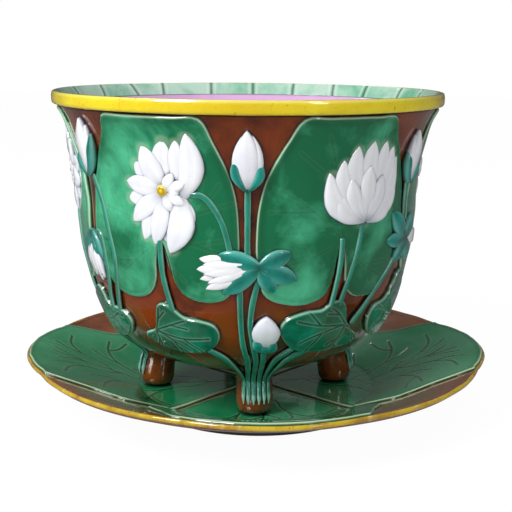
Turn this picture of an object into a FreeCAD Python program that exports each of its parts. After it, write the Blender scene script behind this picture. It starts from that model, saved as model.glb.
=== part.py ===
"""Earthenware jardiniere standing on a wide shallow dish, both moulded with water lilies.

All sizes are millimetres. The frame has +Z up and its origin on the table, at the centre of
the dish. The front of the jardiniere faces -Y. An azimuth is measured about the vertical axis
from the front, positive towards +X, in degrees. Heights on the jardiniere are measured from
the top of the dish's well, where its feet stand.
"""
import FreeCAD
import Part
import math
import os

Vector = FreeCAD.Vector

# Jardiniere: turned clay body
RIM_RADIUS = 178.0
BOWL_HEIGHT = 279.0
RIM_BAND_ROUND = 3.2
RIM_TOP_WIDTH = 2.6
LIP_BAND_FOOT = 4.2
LIP_BAND_TOP = 1.8
WALL_THICKNESS = 8.5
FLOOR_THICKNESS = 10.0
BOWL_SHIFT = -10.0

# Outside of the clay wall: (radius, height) from the middle of the underside to the rim
WALL_PROFILE = [(60.0, 34.5), (85.0, 38.0), (104.0, 46.5), (119.5, 59.5), (131.0, 75.5),
                (138.0, 94.0), (143.4, 112.0), (149.2, 138.0), (152.3, 165.0),
                (153.3, 192.0), (155.6, 216.0), (160.2, 236.0), (165.2, 254.0),
                (171.6, 267.0)]

# Clay relief on the wall
SLIP = 0.2
LEAF_RELIEF = 2.6
PAD_RELIEF = 4.2
STEM_RADIUS = 2.7
STEM_RELIEF = 5.4
STEM_CLEARANCE = 0.5
SEPAL_RELIEF = 7.2
PETAL_RELIEF_LOW = 5.2
PETAL_RELIEF_HIGH = 7.0
BUD_RELIEF = 8.6
DISC_RELIEF = 8.4
DISC_RADIUS = 5.2
PETAL_ROOT = 3.0

# Feet: (height, distance of the section's centre from the axis, section radius)
FOOT_AZIMUTH = 5.0
FOOT_COUNT = 4
FOOT_SECTIONS = [(0.0, 85.0, 9.5), (1.2, 85.2, 12.3), (4.5, 85.6, 14.9), (11.0, 85.8, 16.3),
                 (20.0, 85.0, 16.2), (29.0, 83.5, 15.8), (39.0, 82.5, 17.4),
                 (50.0, 82.0, 22.0)]
STEM_FOOT_HEIGHTS = (34.5, 26.0, 15.0)

# Dish that the jardiniere stands on
DISH_RADIUS = 210.0
DISH_LOBE = 8.0
DISH_LOBE_HALF_ANGLE = 20.0
DISH_LOBE_AZIMUTH = 3.0
PAD_THICKNESS = 2.2
DISH_WALL = 7.5
FOOT_RING_RADIUS = 104.0
FOOT_RING_WIDTH = 11.0
FOOT_RING_HEIGHT = 6.0
LIP_BAND_WIDTH = 7.0
LIP_BAND_DEPTH = 6.6
LILY_PAD_MARGIN = 1.6
LILY_PAD_GAP = 0.4

# Top of the dish with its lily pads: (radius, height above the table), flat in the middle
WELL_HEIGHT = 14.0
DISH_PROFILE = [(106.0, WELL_HEIGHT), (115.0, 16.4), (130.0, 22.5), (150.0, 30.5), (175.0, 39.8),
                (197.0, 47.6), (210.0, 51.2), (218.0, 52.0)]

# Lily pad on the dish: (distance along its middle, distance to the side), one half
LILY_PAD_HALF = [(46.0, 42.0), (80.0, 76.0), (113.0, 99.0), (128.0, 97.0), (152.0, 88.0),
                 (178.0, 83.0), (199.0, 74.0)]
LILY_PAD_HEART = 12.0

# Half of a petal: (share of its length, share of its half width)
PETAL_SHAPE = [(0.30, 0.84), (0.62, 1.0), (0.88, 0.55)]

NEIGHBOUR_ANGLE = 60.0
SAME_VIEW_ANGLE = 20.0
SLIVER_AREA = 50.0
REACH = 260.0
AXIS = Vector(0, 0, 1)
CENTRE = Vector(0, 0, 0)
HALF_TURN = 180.0


# ---------------------------------------------------------------- outlines and surfaces

def smooth_curve(points, closed=False):
    """Curve through the points, closed in a smooth loop if asked."""
    curve = Part.BSplineCurve()
    curve.interpolate(Points=points, PeriodicFlag=closed)
    return curve


def offset_points(profile, distance):
    """Points of a (radius, height) profile, moved outwards by a distance along its normals."""
    curve = smooth_curve([Vector(r, 0, z) for r, z in profile])
    moved = []
    for radius, height in profile:
        here = curve.parameter(Vector(radius, 0, height))
        along = curve.tangent(here)[0]
        moved.append(Vector(radius + along.z * distance, 0, height - along.x * distance))
    return moved


def revolve(edges):
    """Solid of revolution about the vertical axis from edges in the XZ plane."""
    wire = Part.Wire(Part.__sortEdges__(edges))
    return Part.Face(wire).revolve(CENTRE, AXIS, 360)


def revolve_part(edges, middle, half_angle):
    """The same, but only so far either side of an azimuth."""
    face = Part.Face(Part.Wire(Part.__sortEdges__(edges)))
    face.rotate(CENTRE, AXIS, middle - half_angle - 90)
    return face.revolve(CENTRE, AXIS, 2 * half_angle)


def segment(start, end):
    """Straight edge between two points."""
    return Part.makeLine(start, end)


def wall_heights():
    """Lowest and highest height of the wall profile."""
    return WALL_PROFILE[0][1], WALL_PROFILE[-1][1]


WALL_CURVE = smooth_curve([Vector(r, 0, z) for r, z in WALL_PROFILE])


def wall_point(azimuth, height, lift=0.0):
    """Point on the outside of the wall, lifted off it by a distance."""
    low, high = wall_heights()
    level = Part.Plane(Vector(0, 0, min(max(height, low), high)), AXIS)
    hit = WALL_CURVE.intersect(level)[0][0] if low < height < high else None
    base = Vector(hit.X, 0, hit.Z) if hit else Vector(WALL_PROFILE[-1][0], 0, height)
    along = WALL_CURVE.tangent(WALL_CURVE.parameter(base))[0]
    radius = base.x + along.z * lift
    level_here = base.z - along.x * lift
    turn = math.radians(azimuth)
    return Vector(radius * math.sin(turn), -radius * math.cos(turn), level_here)


def wall_radius(height):
    """Outside radius of the wall at a height."""
    return -wall_point(0.0, height).y


def wall_ring(low, high, middle):
    """Part of a ring between two offsets from the outside of the wall, about an azimuth."""
    inner = offset_points(WALL_PROFILE, low)
    outer = offset_points(WALL_PROFILE, high)
    return revolve_part([smooth_curve(inner).toShape(), smooth_curve(outer).toShape(),
                         segment(inner[0], outer[0]), segment(inner[-1], outer[-1])],
                        middle, NEIGHBOUR_ANGLE)


def wall_core(offset):
    """Everything inside an offset from the outside of the wall."""
    skin = offset_points(WALL_PROFILE, offset)
    bottom = Vector(0, 0, skin[0].z)
    top = Vector(0, 0, skin[-1].z)
    return revolve([smooth_curve(skin).toShape(), segment(bottom, skin[0]),
                    segment(skin[-1], top), segment(top, bottom)])


# ---------------------------------------------------------------- relief on the wall

def flat_point(azimuth, height, middle):
    """Point of the wall seen square on from the azimuth in the middle of a motif."""
    return Vector(wall_radius(height) * math.sin(math.radians(azimuth - middle)), 0, height)


def grown(points, distance):
    """Closed outline with each point moved outwards by a distance."""
    count = len(points)
    area = sum(points[i - 1].x * points[i].z - points[i].x * points[i - 1].z
               for i in range(count))
    side = math.copysign(distance, area)
    result = []
    for i, point in enumerate(points):
        along = points[(i + 1) % count] - points[i - 1]
        along.normalize()
        result.append(point + Vector(along.z, 0, -along.x) * side)
    return result


def leaf_face(outline, middle, growth):
    """Flat face inside a smooth closed outline of (azimuth, height) points."""
    points = grown([flat_point(a, z, middle) for a, z in outline], growth)
    return Part.Face(Part.Wire(smooth_curve(points, closed=True).toShape()))


def petal_face(petal, middle, growth):
    """Flat pointed petal: (azimuth and height of its foot, then of its tip, and its width)."""
    foot_azimuth, foot_height, tip_azimuth, tip_height, width = petal
    start = flat_point(foot_azimuth, foot_height, middle)
    tip = flat_point(tip_azimuth, tip_height, middle)
    along = tip - start
    length = along.Length
    along.normalize()
    across = Vector(-along.z, 0, along.x)
    start = start - along * PETAL_ROOT
    root = start - along * growth
    tip = tip + along * (2 * growth)
    sides = []
    for side in (-1, 1):
        belly = [start + along * (share * length)
                 + across * (side * (fullness * width / 2 + growth))
                 for share, fullness in PETAL_SHAPE]
        sides.append(smooth_curve([root] + belly + [tip]).toShape())
    return Part.Face(Part.Wire(sides))


def ribbon_face(route, middle, growth):
    """Flat ribbon as wide as a stem, along (azimuth, height) points."""
    points = [flat_point(a, z, middle) for a, z in route]
    sides = []
    for side in (-1, 1):
        edge = []
        for i, point in enumerate(points):
            along = points[min(i + 1, len(points) - 1)] - points[max(i - 1, 0)]
            along.normalize()
            if i == 0:
                point = point - along * growth
            elif i == len(points) - 1:
                point = point + along * growth
            edge.append(point + Vector(-along.z, 0, along.x) * (side * (STEM_RADIUS + growth)))
        sides.append(edge)
    left, right = sides
    return Part.Face(Part.Wire([smooth_curve(left).toShape(), segment(left[-1], right[-1]),
                                smooth_curve(right).toShape(), segment(right[0], left[0])]))


def disc_face(place, middle, growth):
    """Flat round face at an (azimuth, height) place."""
    centre = flat_point(place[0], place[1], middle)
    circle = Part.makeCircle(DISC_RADIUS + growth, centre, Vector(0, 1, 0))
    return Part.Face(Part.Wire(circle))


def merged(faces):
    """Flat faces joined into one sheet with no seams inside it."""
    return faces[0].multiFuse(faces[1:]).removeSplitter() if len(faces) > 1 else faces[0]


class Motif:
    """One piece of relief: flat shapes seen from an azimuth, and how far it stands out."""

    def __init__(self, name, middle, make_face, shapes, relief):
        self.name = name
        self.middle = middle
        self.make_face = make_face
        self.shapes = shapes
        self.relief = relief

    def sheet(self, middle, growth=0.0):
        """Flat sheet of all the shapes, seen from an azimuth, grown by a distance."""
        return merged([self.make_face(shape, middle, growth) for shape in self.shapes])

    def block(self, middle, growth, half):
        """Upright block of the shapes, from the axis outwards, turned half round if asked."""
        block = self.sheet(middle, growth).extrude(Vector(0, -REACH, 0))
        block.rotate(CENTRE, AXIS, middle + half)
        return block

    def solid(self, above):
        """Relief between the wall and its own height, less the room of what lies above.

        What lies above is on either half: each motif is also there turned half round. Sepals
        that are seen aslant from here are cut square on, the rest is cut in the flat sheet.
        """
        sheet = self.sheet(self.middle)
        rooms = []
        blocks = []
        for other, half in [(motif, half) for motif in above for half in (0.0, HALF_TURN)]:
            turn = abs((other.middle + half - self.middle + HALF_TURN) % 360 - HALF_TURN)
            if SAME_VIEW_ANGLE < turn < NEIGHBOUR_ANGLE and other.name == "flower_sepals":
                blocks.append(other.block(other.middle, SLIP, half))
            elif turn < NEIGHBOUR_ANGLE:
                slant = self.relief * math.tan(math.radians(turn))
                room = other.sheet(self.middle - half, SLIP + slant)
                if room.BoundBox.intersect(sheet.BoundBox):
                    rooms.append(room)
        if rooms:
            sheet = Part.makeCompound([face for face in sheet.cut(rooms).Faces
                                       if face.Area > SLIVER_AREA])
        block = sheet.extrude(Vector(0, -REACH, 0))
        block.rotate(CENTRE, AXIS, self.middle)
        relief = block.common(wall_ring(SLIP, self.relief, self.middle))
        blocks = [other for other in blocks if other.BoundBox.intersect(relief.BoundBox)]
        return relief.cut(blocks) if blocks else relief


def foot_at(height):
    """Distance of a foot's centre from the axis, and its radius, at a height."""
    for lower, upper in zip(FOOT_SECTIONS, FOOT_SECTIONS[1:]):
        if height <= upper[0]:
            share = (height - lower[0]) / (upper[0] - lower[0])
            return (lower[1] + share * (upper[1] - lower[1]),
                    lower[2] + share * (upper[2] - lower[2]))
    return FOOT_SECTIONS[-1][1:]


def foot_point(foot_azimuth, side_angle, height):
    """Centre of a stem on a foot's face, turned from the outward side by an angle."""
    centre, radius = foot_at(height)
    out = math.radians(side_angle)
    reach = radius + STEM_RADIUS + STEM_CLEARANCE
    forward = centre + reach * math.cos(out)
    across = reach * math.sin(out)
    turn = math.radians(foot_azimuth)
    return Vector(forward * math.sin(turn) + across * math.cos(turn),
                  -forward * math.cos(turn) + across * math.sin(turn), height)


def foot_stem(route, foot_azimuth, side_angle, rooms):
    """Round stem from the underside of the wall down the face of a foot, less the rooms."""
    lift = STEM_RADIUS + STEM_CLEARANCE
    points = [wall_point(a, z, lift) for a, z in route]
    points += [foot_point(foot_azimuth, side_angle, height) for height in STEM_FOOT_HEIGHTS]
    path = smooth_curve(points)
    start = path.FirstParameter
    ring = Part.Wire(Part.makeCircle(STEM_RADIUS, path.value(start), path.tangent(start)[0]))
    return Part.Wire(path.toShape()).makePipeShell([ring], True, False).cut(rooms)


# ---------------------------------------------------------------- motifs of the front half

# Leaf panels: the azimuth of the middle, and an (azimuth, height) outline with a lily cleft
LEAF_PANELS = {
    "left": (-29.0, [
        (-27.0, 163.0), (-28.9, 148.0), (-29.8, 131.0), (-32.6, 118.0), (-37.5, 111.5),
        (-44.0, 110.5), (-50.5, 117.0), (-55.0, 134.0), (-57.3, 160.0), (-57.2, 184.0),
        (-55.2, 208.0), (-51.0, 230.0), (-46.4, 250.0), (-43.3, 265.5), (-35.0, 266.2),
        (-21.0, 266.2), (-13.0, 265.5), (-9.7, 248.0), (-6.0, 226.0), (-3.4, 204.0),
        (-2.4, 180.0), (-2.2, 156.0), (-3.2, 130.0), (-7.5, 116.0), (-14.0, 113.0),
        (-20.0, 117.5), (-23.4, 129.0), (-24.8, 147.0)]),
    "right": (30.0, [
        (30.0, 161.0), (31.6, 146.0), (32.5, 130.0), (34.6, 119.0), (39.0, 112.5), (46.0, 111.5),
        (52.0, 118.0), (56.0, 134.0), (58.0, 158.0), (58.3, 182.0), (57.0, 206.0), (53.2, 228.0),
        (48.4, 248.0), (44.6, 265.0), (36.0, 266.2), (23.0, 266.2), (15.0, 265.5), (11.0, 248.0),
        (7.0, 228.0), (4.0, 206.0), (2.6, 182.0), (2.4, 156.0), (3.6, 130.0), (7.0, 117.0),
        (14.0, 111.0), (21.0, 111.5), (26.0, 118.0), (28.0, 131.0), (28.8, 147.0)]),
    "side": (90.0, [
        (90.0, 162.0), (91.6, 147.0), (92.6, 130.0), (95.5, 118.0), (100.5, 112.0),
        (106.5, 112.5), (112.0, 120.0), (115.8, 136.0), (117.6, 160.0), (117.6, 184.0),
        (116.0, 208.0), (112.4, 230.0), (107.6, 250.0), (104.0, 265.5), (96.0, 266.2),
        (84.0, 266.2), (76.0, 265.5), (72.0, 250.0), (67.6, 230.0), (64.0, 208.0), (62.4, 184.0),
        (62.4, 160.0), (64.2, 136.0), (68.0, 120.0), (73.5, 112.5), (79.5, 112.0), (84.5, 118.0),
        (87.4, 130.0), (88.4, 147.0)]),
}

# Small lily leaves low on the wall, either side of a foot, given in the same way
SMALL_LEAVES = {
    "left": (-25.0, [
        (-40.0, 78.0), (-34.5, 85.0), (-32.8, 98.0), (-31.5, 107.0), (-28.6, 110.5),
        (-25.2, 107.0), (-21.5, 100.0), (-16.0, 98.0), (-11.2, 94.5), (-9.2, 86.0),
        (-10.4, 76.0), (-15.5, 67.0), (-24.0, 64.5), (-33.5, 68.0)]),
    "right": (29.0, [
        (11.0, 91.0), (13.6, 100.5), (19.5, 105.5), (25.4, 106.5), (28.6, 111.5), (32.8, 112.5),
        (35.6, 106.0), (37.4, 93.0), (41.0, 83.0), (45.8, 74.5), (44.6, 68.0), (36.0, 65.5),
        (25.0, 65.0), (17.5, 69.5), (12.8, 80.0)]),
    "side_left": (65.0, [
        (48.6, 92.0), (50.8, 101.0), (56.5, 103.5), (60.0, 112.0), (62.6, 124.5), (66.5, 126.0),
        (70.5, 119.0), (74.5, 106.0), (79.5, 92.0), (81.0, 80.0), (76.5, 69.0), (66.0, 65.5),
        (55.5, 70.0), (49.8, 80.0)]),
    "side_right": (-63.0, [
        (-45.6, 86.0), (-49.0, 94.5), (-55.0, 96.5), (-59.5, 97.0), (-62.6, 108.5),
        (-66.5, 110.5), (-71.5, 104.0), (-77.0, 96.0), (-80.2, 84.0), (-77.5, 71.0),
        (-68.0, 65.0), (-57.0, 66.0), (-48.6, 74.0)]),
}

# Buds: the azimuth of the middle, petals (foot azimuth, foot height, tip azimuth, tip height,
# width), then sepals
BUDS = {
    "middle": (0.0,
               [(0.0, 219.0, -1.6, 252.0, 13.0), (0.0, 219.0, 1.4, 252.0, 13.0),
                (0.0, 217.0, -0.4, 256.0, 16.0)],
               [(0.0, 213.0, -3.6, 234.0, 9.0), (0.0, 213.0, 3.4, 234.0, 9.0),
                (0.0, 213.0, 0.0, 226.0, 11.0)]),
    "right": (60.0,
              [(60.2, 214.0, 59.0, 247.0, 13.0), (60.2, 214.0, 62.2, 246.0, 13.0),
               (60.2, 212.0, 60.6, 251.0, 16.0)],
              [(60.2, 208.0, 56.4, 232.0, 9.0), (60.2, 208.0, 63.6, 228.0, 9.0)]),
    "left": (-58.0,
             [(-57.5, 220.0, -58.6, 256.0, 14.0), (-57.5, 220.0, -54.0, 254.0, 14.0),
              (-57.5, 218.0, -56.0, 260.0, 17.0)],
             [(-57.2, 213.0, -51.2, 246.0, 10.0), (-57.2, 213.0, -60.4, 232.0, 9.0)]),
}

# Low bud beside the front foot
LOW_BUD = [(6.4, 74.0, 5.0, 97.0, 12.0), (6.4, 74.0, 8.6, 96.0, 12.0),
           (6.4, 73.0, 6.5, 102.0, 17.0)]

# Open flower: its heart, then petal tips (azimuth, height, width)
OPEN_FLOWER_HEART = (-25.2, 206.0)
OPEN_FLOWER_TIPS = [(-16.4, 252.5, 20.0), (-24.0, 248.0, 17.0), (-31.2, 240.0, 17.0),
                    (-35.2, 227.0, 15.0), (-38.4, 211.0, 14.0), (-38.6, 195.0, 14.0),
                    (-36.0, 177.5, 14.0), (-32.4, 163.5, 14.0), (-27.0, 163.5, 13.0),
                    (-23.2, 155.0, 21.0), (-17.6, 172.0, 17.0), (-12.8, 232.0, 15.0)]

# Half-open flower: foot, then petal tips (azimuth, height, width)
HALF_FLOWER_FOOT = (37.6, 180.0)
HALF_FLOWER_TIPS = [(24.0, 221.0, 17.0), (28.2, 231.0, 18.0), (32.5, 242.0, 19.0),
                    (38.2, 245.5, 21.0), (43.4, 245.0, 20.0), (47.0, 240.0, 19.0),
                    (49.6, 231.0, 18.0), (50.6, 217.0, 18.0), (26.0, 209.0, 17.0),
                    (48.6, 204.0, 18.0)]

# Flower on the side leaf
SIDE_FLOWER_HEART = (98.0, 208.0)
SIDE_FLOWER_TIPS = [(98.4, 250.0, 17.0), (91.6, 244.0, 17.0), (86.6, 231.0, 16.0),
                    (84.6, 213.0, 15.0), (86.4, 195.0, 15.0), (90.4, 179.0, 15.0),
                    (96.0, 169.0, 15.0), (102.4, 172.0, 15.0), (107.4, 184.0, 15.0),
                    (110.2, 200.0, 15.0), (110.0, 218.0, 16.0), (105.4, 238.0, 17.0)]

# Flower that lies on its side under the front bud
LYING_FLOWER_FOOT = (3.6, 147.0)
LYING_TIPS = [(-14.8, 152.0, 11.0), (-15.4, 143.0, 12.0), (-14.6, 134.5, 11.0),
              (-12.8, 126.5, 11.0)]
LYING_SEPALS = [(3.6, 147.0, -8.8, 155.5, 12.0), (3.6, 146.0, -7.6, 123.0, 11.0),
                (3.6, 147.0, 13.2, 157.5, 11.0), (3.6, 147.0, 15.4, 134.0, 12.0),
                (3.6, 147.0, 8.4, 124.5, 11.0)]

# Flower that hangs over the left spandrel
HANGING_FLOWER_FOOT = (-58.0, 160.0)
HANGING_TIPS = [(-66.0, 128.0, 12.0), (-62.6, 120.0, 13.0), (-59.0, 117.0, 13.0),
                (-55.6, 121.0, 12.0)]
HANGING_SEPALS = [(-58.0, 162.0, -66.6, 140.0, 12.0), (-58.0, 162.0, -59.8, 131.0, 14.0),
                  (-58.0, 162.0, -53.8, 138.0, 11.0)]

# Flower that points out over the right spandrel
POINTING_FLOWER_FOOT = (60.2, 157.0)
POINTING_TIPS = [(72.6, 164.0, 11.0), (74.6, 156.0, 12.0), (73.6, 147.0, 11.0)]
POINTING_SEPALS = [(60.2, 157.0, 52.2, 182.0, 13.0), (60.2, 157.0, 49.6, 158.0, 10.0),
                   (60.2, 157.0, 55.4, 137.0, 10.0), (60.2, 157.0, 68.4, 176.0, 11.0),
                   (60.2, 157.0, 67.6, 135.0, 11.0)]

# Stems that lie on the wall: the azimuth they are seen from, and (azimuth, height) routes
WALL_STEMS = [
    (0.0, [[(0.0, 217.0), (0.0, 190.0), (0.0, 150.0)],
           [(-2.4, 146.0), (-2.2, 120.0), (-2.0, 96.0), (-1.4, 78.0), (-0.4, 66.0)],
           [(4.0, 142.0), (1.8, 114.0), (1.2, 94.0), (2.2, 78.0), (3.2, 66.0)],
           [(6.4, 76.0), (6.3, 66.0)]]),
    (-16.0, [[(-17.0, 204.0), (-13.0, 202.0), (-9.6, 192.0), (-6.8, 176.0), (-4.6, 152.0)],
              [(-27.2, 168.0), (-27.3, 148.0), (-27.0, 131.0), (-25.4, 104.0)]]),
    (34.0, [[(30.0, 166.0), (30.0, 148.0), (29.6, 131.0), (28.8, 106.0)],
            [(37.8, 184.0), (36.0, 153.0), (34.0, 131.0), (32.2, 108.0)]]),
    (55.0, [[(60.0, 213.0), (60.2, 186.0), (60.2, 156.0)],
            [(59.4, 155.0), (54.6, 137.0), (49.6, 121.0), (41.6, 94.0), (40.0, 88.0)]]),
    (92.0, [[(90.0, 167.0), (90.2, 150.0), (91.4, 130.0), (92.6, 96.0), (93.4, 66.0)],
            [(97.6, 176.0), (98.4, 140.0), (97.4, 100.0), (97.0, 66.0)]]),
    (-52.0, [[(-55.8, 212.0), (-51.4, 188.0), (-48.8, 166.0), (-47.0, 143.0),
              (-48.4, 121.0), (-51.0, 98.0), (-52.0, 90.0)],
             [(-58.2, 159.0), (-55.6, 162.5), (-53.2, 156.0), (-52.6, 130.0),
              (-55.4, 104.0), (-56.0, 92.0)]]),
]

# Stems that run on down a foot: (route under the wall, side angle on the foot)
FRONT_FOOT_STEMS = [
    ([(-12.0, 63.0), (-7.0, 59.0), (-3.4, 52.0)], -68.0),
    ([(-0.3, 65.0), (0.6, 59.0), (1.6, 52.0)], -41.0),
    ([(3.3, 65.0), (3.8, 59.0), (4.2, 52.0)], -14.0),
    ([(6.3, 65.0), (6.5, 59.0), (6.8, 52.0)], 13.0),
    ([(13.4, 62.0), (11.0, 57.5), (9.4, 51.5)], 40.0),
    ([(18.8, 60.0), (15.2, 56.5), (12.4, 51.0)], 67.0),
]
SIDE_FOOT_AZIMUTH = FOOT_AZIMUTH + 90.0
SIDE_FOOT_STEMS = [
    ([(79.6, 64.0), (84.0, 59.0), (88.0, 52.0)], -64.0),
    ([(93.4, 65.0), (93.6, 59.0), (93.8, 52.0)], -14.0),
    ([(97.0, 65.0), (96.6, 59.0), (96.4, 52.0)], 14.0),
    ([(110.4, 64.0), (106.0, 59.0), (102.0, 52.0)], 64.0),
]


FOOT_STEMS = [(FOOT_AZIMUTH, FRONT_FOOT_STEMS), (SIDE_FOOT_AZIMUTH, SIDE_FOOT_STEMS)]
WEDGE_FLOWER_TIPS = {"lying_flower": LYING_TIPS, "hanging_flower": HANGING_TIPS,
                     "pointing_flower": POINTING_TIPS}


# ---------------------------------------------------------------- turned clay body

def bowl_wall():
    """Pot with its floor: the outside profile, thickened inwards."""
    outer = [Vector(r, 0, z) for r, z in WALL_PROFILE]
    inner = offset_points(WALL_PROFILE, -WALL_THICKNESS)
    floor = WALL_PROFILE[0][1] + FLOOR_THICKNESS
    inner = [point for point in inner if point.z > floor + FLOOR_THICKNESS / 2]
    top = outer[-1].z
    inner[-1] = Vector(inner[-1].x, 0, top)
    floor_edge = Vector(inner[0].x - 2 * FLOOR_THICKNESS, 0, floor)
    curve = smooth_curve([floor_edge] + inner)
    bottom = Vector(0, 0, outer[0].z)
    middle = Vector(0, 0, floor)
    return revolve([smooth_curve(outer).toShape(), curve.toShape(),
                    segment(bottom, outer[0]), segment(outer[-1], inner[-1]),
                    segment(middle, floor_edge), segment(bottom, middle)])


def rim_points():
    """Corners that the rim band and the lip band inside it share."""
    seat = WALL_PROFILE[-1][1] + SLIP
    outer_top = RIM_RADIUS - RIM_TOP_WIDTH
    foot = offset_points(WALL_PROFILE, -WALL_THICKNESS)[-1].x
    return seat, outer_top, foot


def rim_band():
    """Rounded yellow band around the mouth."""
    seat, outer_top, foot = rim_points()
    low = Vector(RIM_RADIUS - RIM_BAND_ROUND, 0, seat)
    low_side = Vector(RIM_RADIUS, 0, seat + RIM_BAND_ROUND)
    high_side = Vector(RIM_RADIUS, 0, BOWL_HEIGHT - RIM_BAND_ROUND)
    high = Vector(outer_top, 0, BOWL_HEIGHT)
    diagonal = RIM_BAND_ROUND * (1 - math.sqrt(0.5))
    low_mid = Vector(RIM_RADIUS - diagonal, 0, seat + diagonal)
    width = RIM_TOP_WIDTH * (1 - math.sqrt(0.5))
    high_mid = Vector(RIM_RADIUS - width, 0, BOWL_HEIGHT - diagonal)
    inner_top = Vector(outer_top - SLIP, 0, BOWL_HEIGHT - SLIP)
    inner_foot = Vector(foot + LIP_BAND_FOOT + SLIP, 0, seat)
    return revolve([Part.Arc(low, low_mid, low_side).toShape(), segment(low_side, high_side),
                    Part.Arc(high_side, high_mid, high).toShape(), segment(high, inner_top),
                    segment(inner_top, inner_foot), segment(inner_foot, low)])


def inner_lip_band():
    """Flared band inside the mouth, above the glazed interior."""
    seat, outer_top, foot = rim_points()
    top_out = Vector(outer_top - 2 * SLIP, 0, BOWL_HEIGHT)
    top_in = Vector(outer_top - 2 * SLIP - LIP_BAND_TOP, 0, BOWL_HEIGHT)
    foot_out = Vector(foot + LIP_BAND_FOOT - SLIP, 0, seat)
    foot_in = Vector(foot, 0, seat)
    return revolve([segment(top_out, top_in), segment(top_in, foot_in),
                    segment(foot_in, foot_out), segment(foot_out, top_out)])


def stump(azimuth, growth):
    """Rounded stump under the bowl, grown by a distance."""
    rings = []
    for height, centre, radius in FOOT_SECTIONS:
        circle = Part.makeCircle(radius + growth, Vector(0, -centre, height), AXIS)
        rings.append(Part.Wire(circle))
    block = Part.makeLoft(rings, True, False)
    block.rotate(CENTRE, AXIS, azimuth)
    return block


def foot(azimuth):
    """Stump foot, trimmed to the underside of the wall."""
    return stump(azimuth, 0.0).cut(wall_core(SLIP))


# ---------------------------------------------------------------- relief in its layers

def petals_to(place, tips):
    """Petals from one foot to each tip."""
    return [(place[0], place[1], azimuth, height, width) for azimuth, height, width in tips]


def flower(name, place, tips, middle):
    """Flower in two layers: every other petal stands higher."""
    petals = petals_to(place, tips)
    return [Motif(name, middle, petal_face, petals[1::2], PETAL_RELIEF_HIGH),
            Motif(name, middle, petal_face, petals[0::2], PETAL_RELIEF_LOW)]


def front_motifs():
    """All the relief of the front half, from the top layer down."""
    motifs = []
    for place in (OPEN_FLOWER_HEART, SIDE_FLOWER_HEART):
        motifs.append(Motif("flower_hearts", place[0], disc_face, [place], DISC_RELIEF))
    for name, (middle, petals, sepals) in BUDS.items():
        motifs.append(Motif("bud_sepals", middle, petal_face, sepals, SEPAL_RELIEF))
        motifs.append(Motif("bud_" + name, middle, petal_face, petals, BUD_RELIEF))
    motifs.append(Motif("low_bud", 0.0, petal_face, LOW_BUD, BUD_RELIEF))
    for name, place, middle, sepals in (
            ("lying_flower", LYING_FLOWER_FOOT, 0.0, LYING_SEPALS),
            ("hanging_flower", HANGING_FLOWER_FOOT, -58.0, HANGING_SEPALS),
            ("pointing_flower", POINTING_FLOWER_FOOT, 60.0, POINTING_SEPALS)):
        motifs.append(Motif("flower_sepals", middle, petal_face, sepals, SEPAL_RELIEF))
        motifs += flower(name, place, WEDGE_FLOWER_TIPS[name], middle)
    motifs += flower("open_flower", OPEN_FLOWER_HEART, OPEN_FLOWER_TIPS, OPEN_FLOWER_HEART[0])
    motifs += flower("side_flower", SIDE_FLOWER_HEART, SIDE_FLOWER_TIPS, SIDE_FLOWER_HEART[0])
    motifs += flower("half_open_flower", HALF_FLOWER_FOOT, HALF_FLOWER_TIPS,
                     HALF_FLOWER_FOOT[0])
    for name, (middle, outline) in SMALL_LEAVES.items():
        motifs.append(Motif("small_leaf_" + name, middle, leaf_face, [outline], PAD_RELIEF))
    for middle, routes in WALL_STEMS:
        motifs.append(Motif("wall_stems", middle, ribbon_face, routes, STEM_RELIEF))
    for name, (middle, outline) in LEAF_PANELS.items():
        motifs.append(Motif("leaf_panel_" + name, middle, leaf_face, [outline], LEAF_RELIEF))
    return motifs


def turned(shape, azimuth):
    """Copy of a shape turned about the vertical axis."""
    copy = shape.copy()
    copy.rotate(CENTRE, AXIS, azimuth)
    return copy


def build_relief():
    """Relief of the front half and, turned half round, of the rear half, by name."""
    pieces = {}
    motifs = front_motifs()
    for count, motif in enumerate(motifs):
        pieces.setdefault(motif.name, []).extend(motif.solid(motifs[:count]).Solids)
    pieces["foot_stems"] = []
    for azimuth, stems in FOOT_STEMS:
        rooms = [wall_core(SLIP), stump(azimuth, STEM_CLEARANCE)]
        for route, angle in stems:
            pieces["foot_stems"] += foot_stem(route, azimuth, angle, rooms).Solids
    both = {}
    for name, solids in pieces.items():
        group = Part.makeCompound(solids)
        both["front_" + name] = group
        both["rear_" + name] = turned(group, HALF_TURN)
    return both


def build_bowl():
    """Every piece of the jardiniere, in its own frame, by node name."""
    pieces = {"bowl_wall": bowl_wall(), "rim_band": rim_band(),
              "inner_lip_band": inner_lip_band()}
    for count, side in enumerate(("front", "right", "rear", "left")):
        pieces["foot_" + side] = foot(FOOT_AZIMUTH + count * 360.0 / FOOT_COUNT)
    pieces.update(build_relief())
    return pieces


# ---------------------------------------------------------------- dish

def dish_points(drop):
    """Top profile of the dish, lowered by a distance."""
    return [Vector(r, 0, z - drop) for r, z in DISH_PROFILE]


def lobed_block(margin):
    """Upright block with the dish's outline: a circle with four shallow lobes."""
    radius = DISH_RADIUS - margin
    tip = DISH_RADIUS + DISH_LOBE
    spread = math.cos(math.radians(DISH_LOBE_HALF_ANGLE))
    lobe = ((tip ** 2 + DISH_RADIUS ** 2 - 2 * tip * DISH_RADIUS * spread)
            / (2 * (tip - DISH_RADIUS * spread)))
    height = 2 * DISH_PROFILE[-1][1]
    block = Part.makeCylinder(radius, height)
    for count in range(FOOT_COUNT):
        disc_shape = Part.makeCylinder(lobe - margin, height, Vector(0, -(tip - lobe), 0))
        disc_shape.rotate(CENTRE, AXIS, DISH_LOBE_AZIMUTH + count * 360.0 / FOOT_COUNT)
        block = block.fuse(disc_shape)
    return block.removeSplitter()


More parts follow.
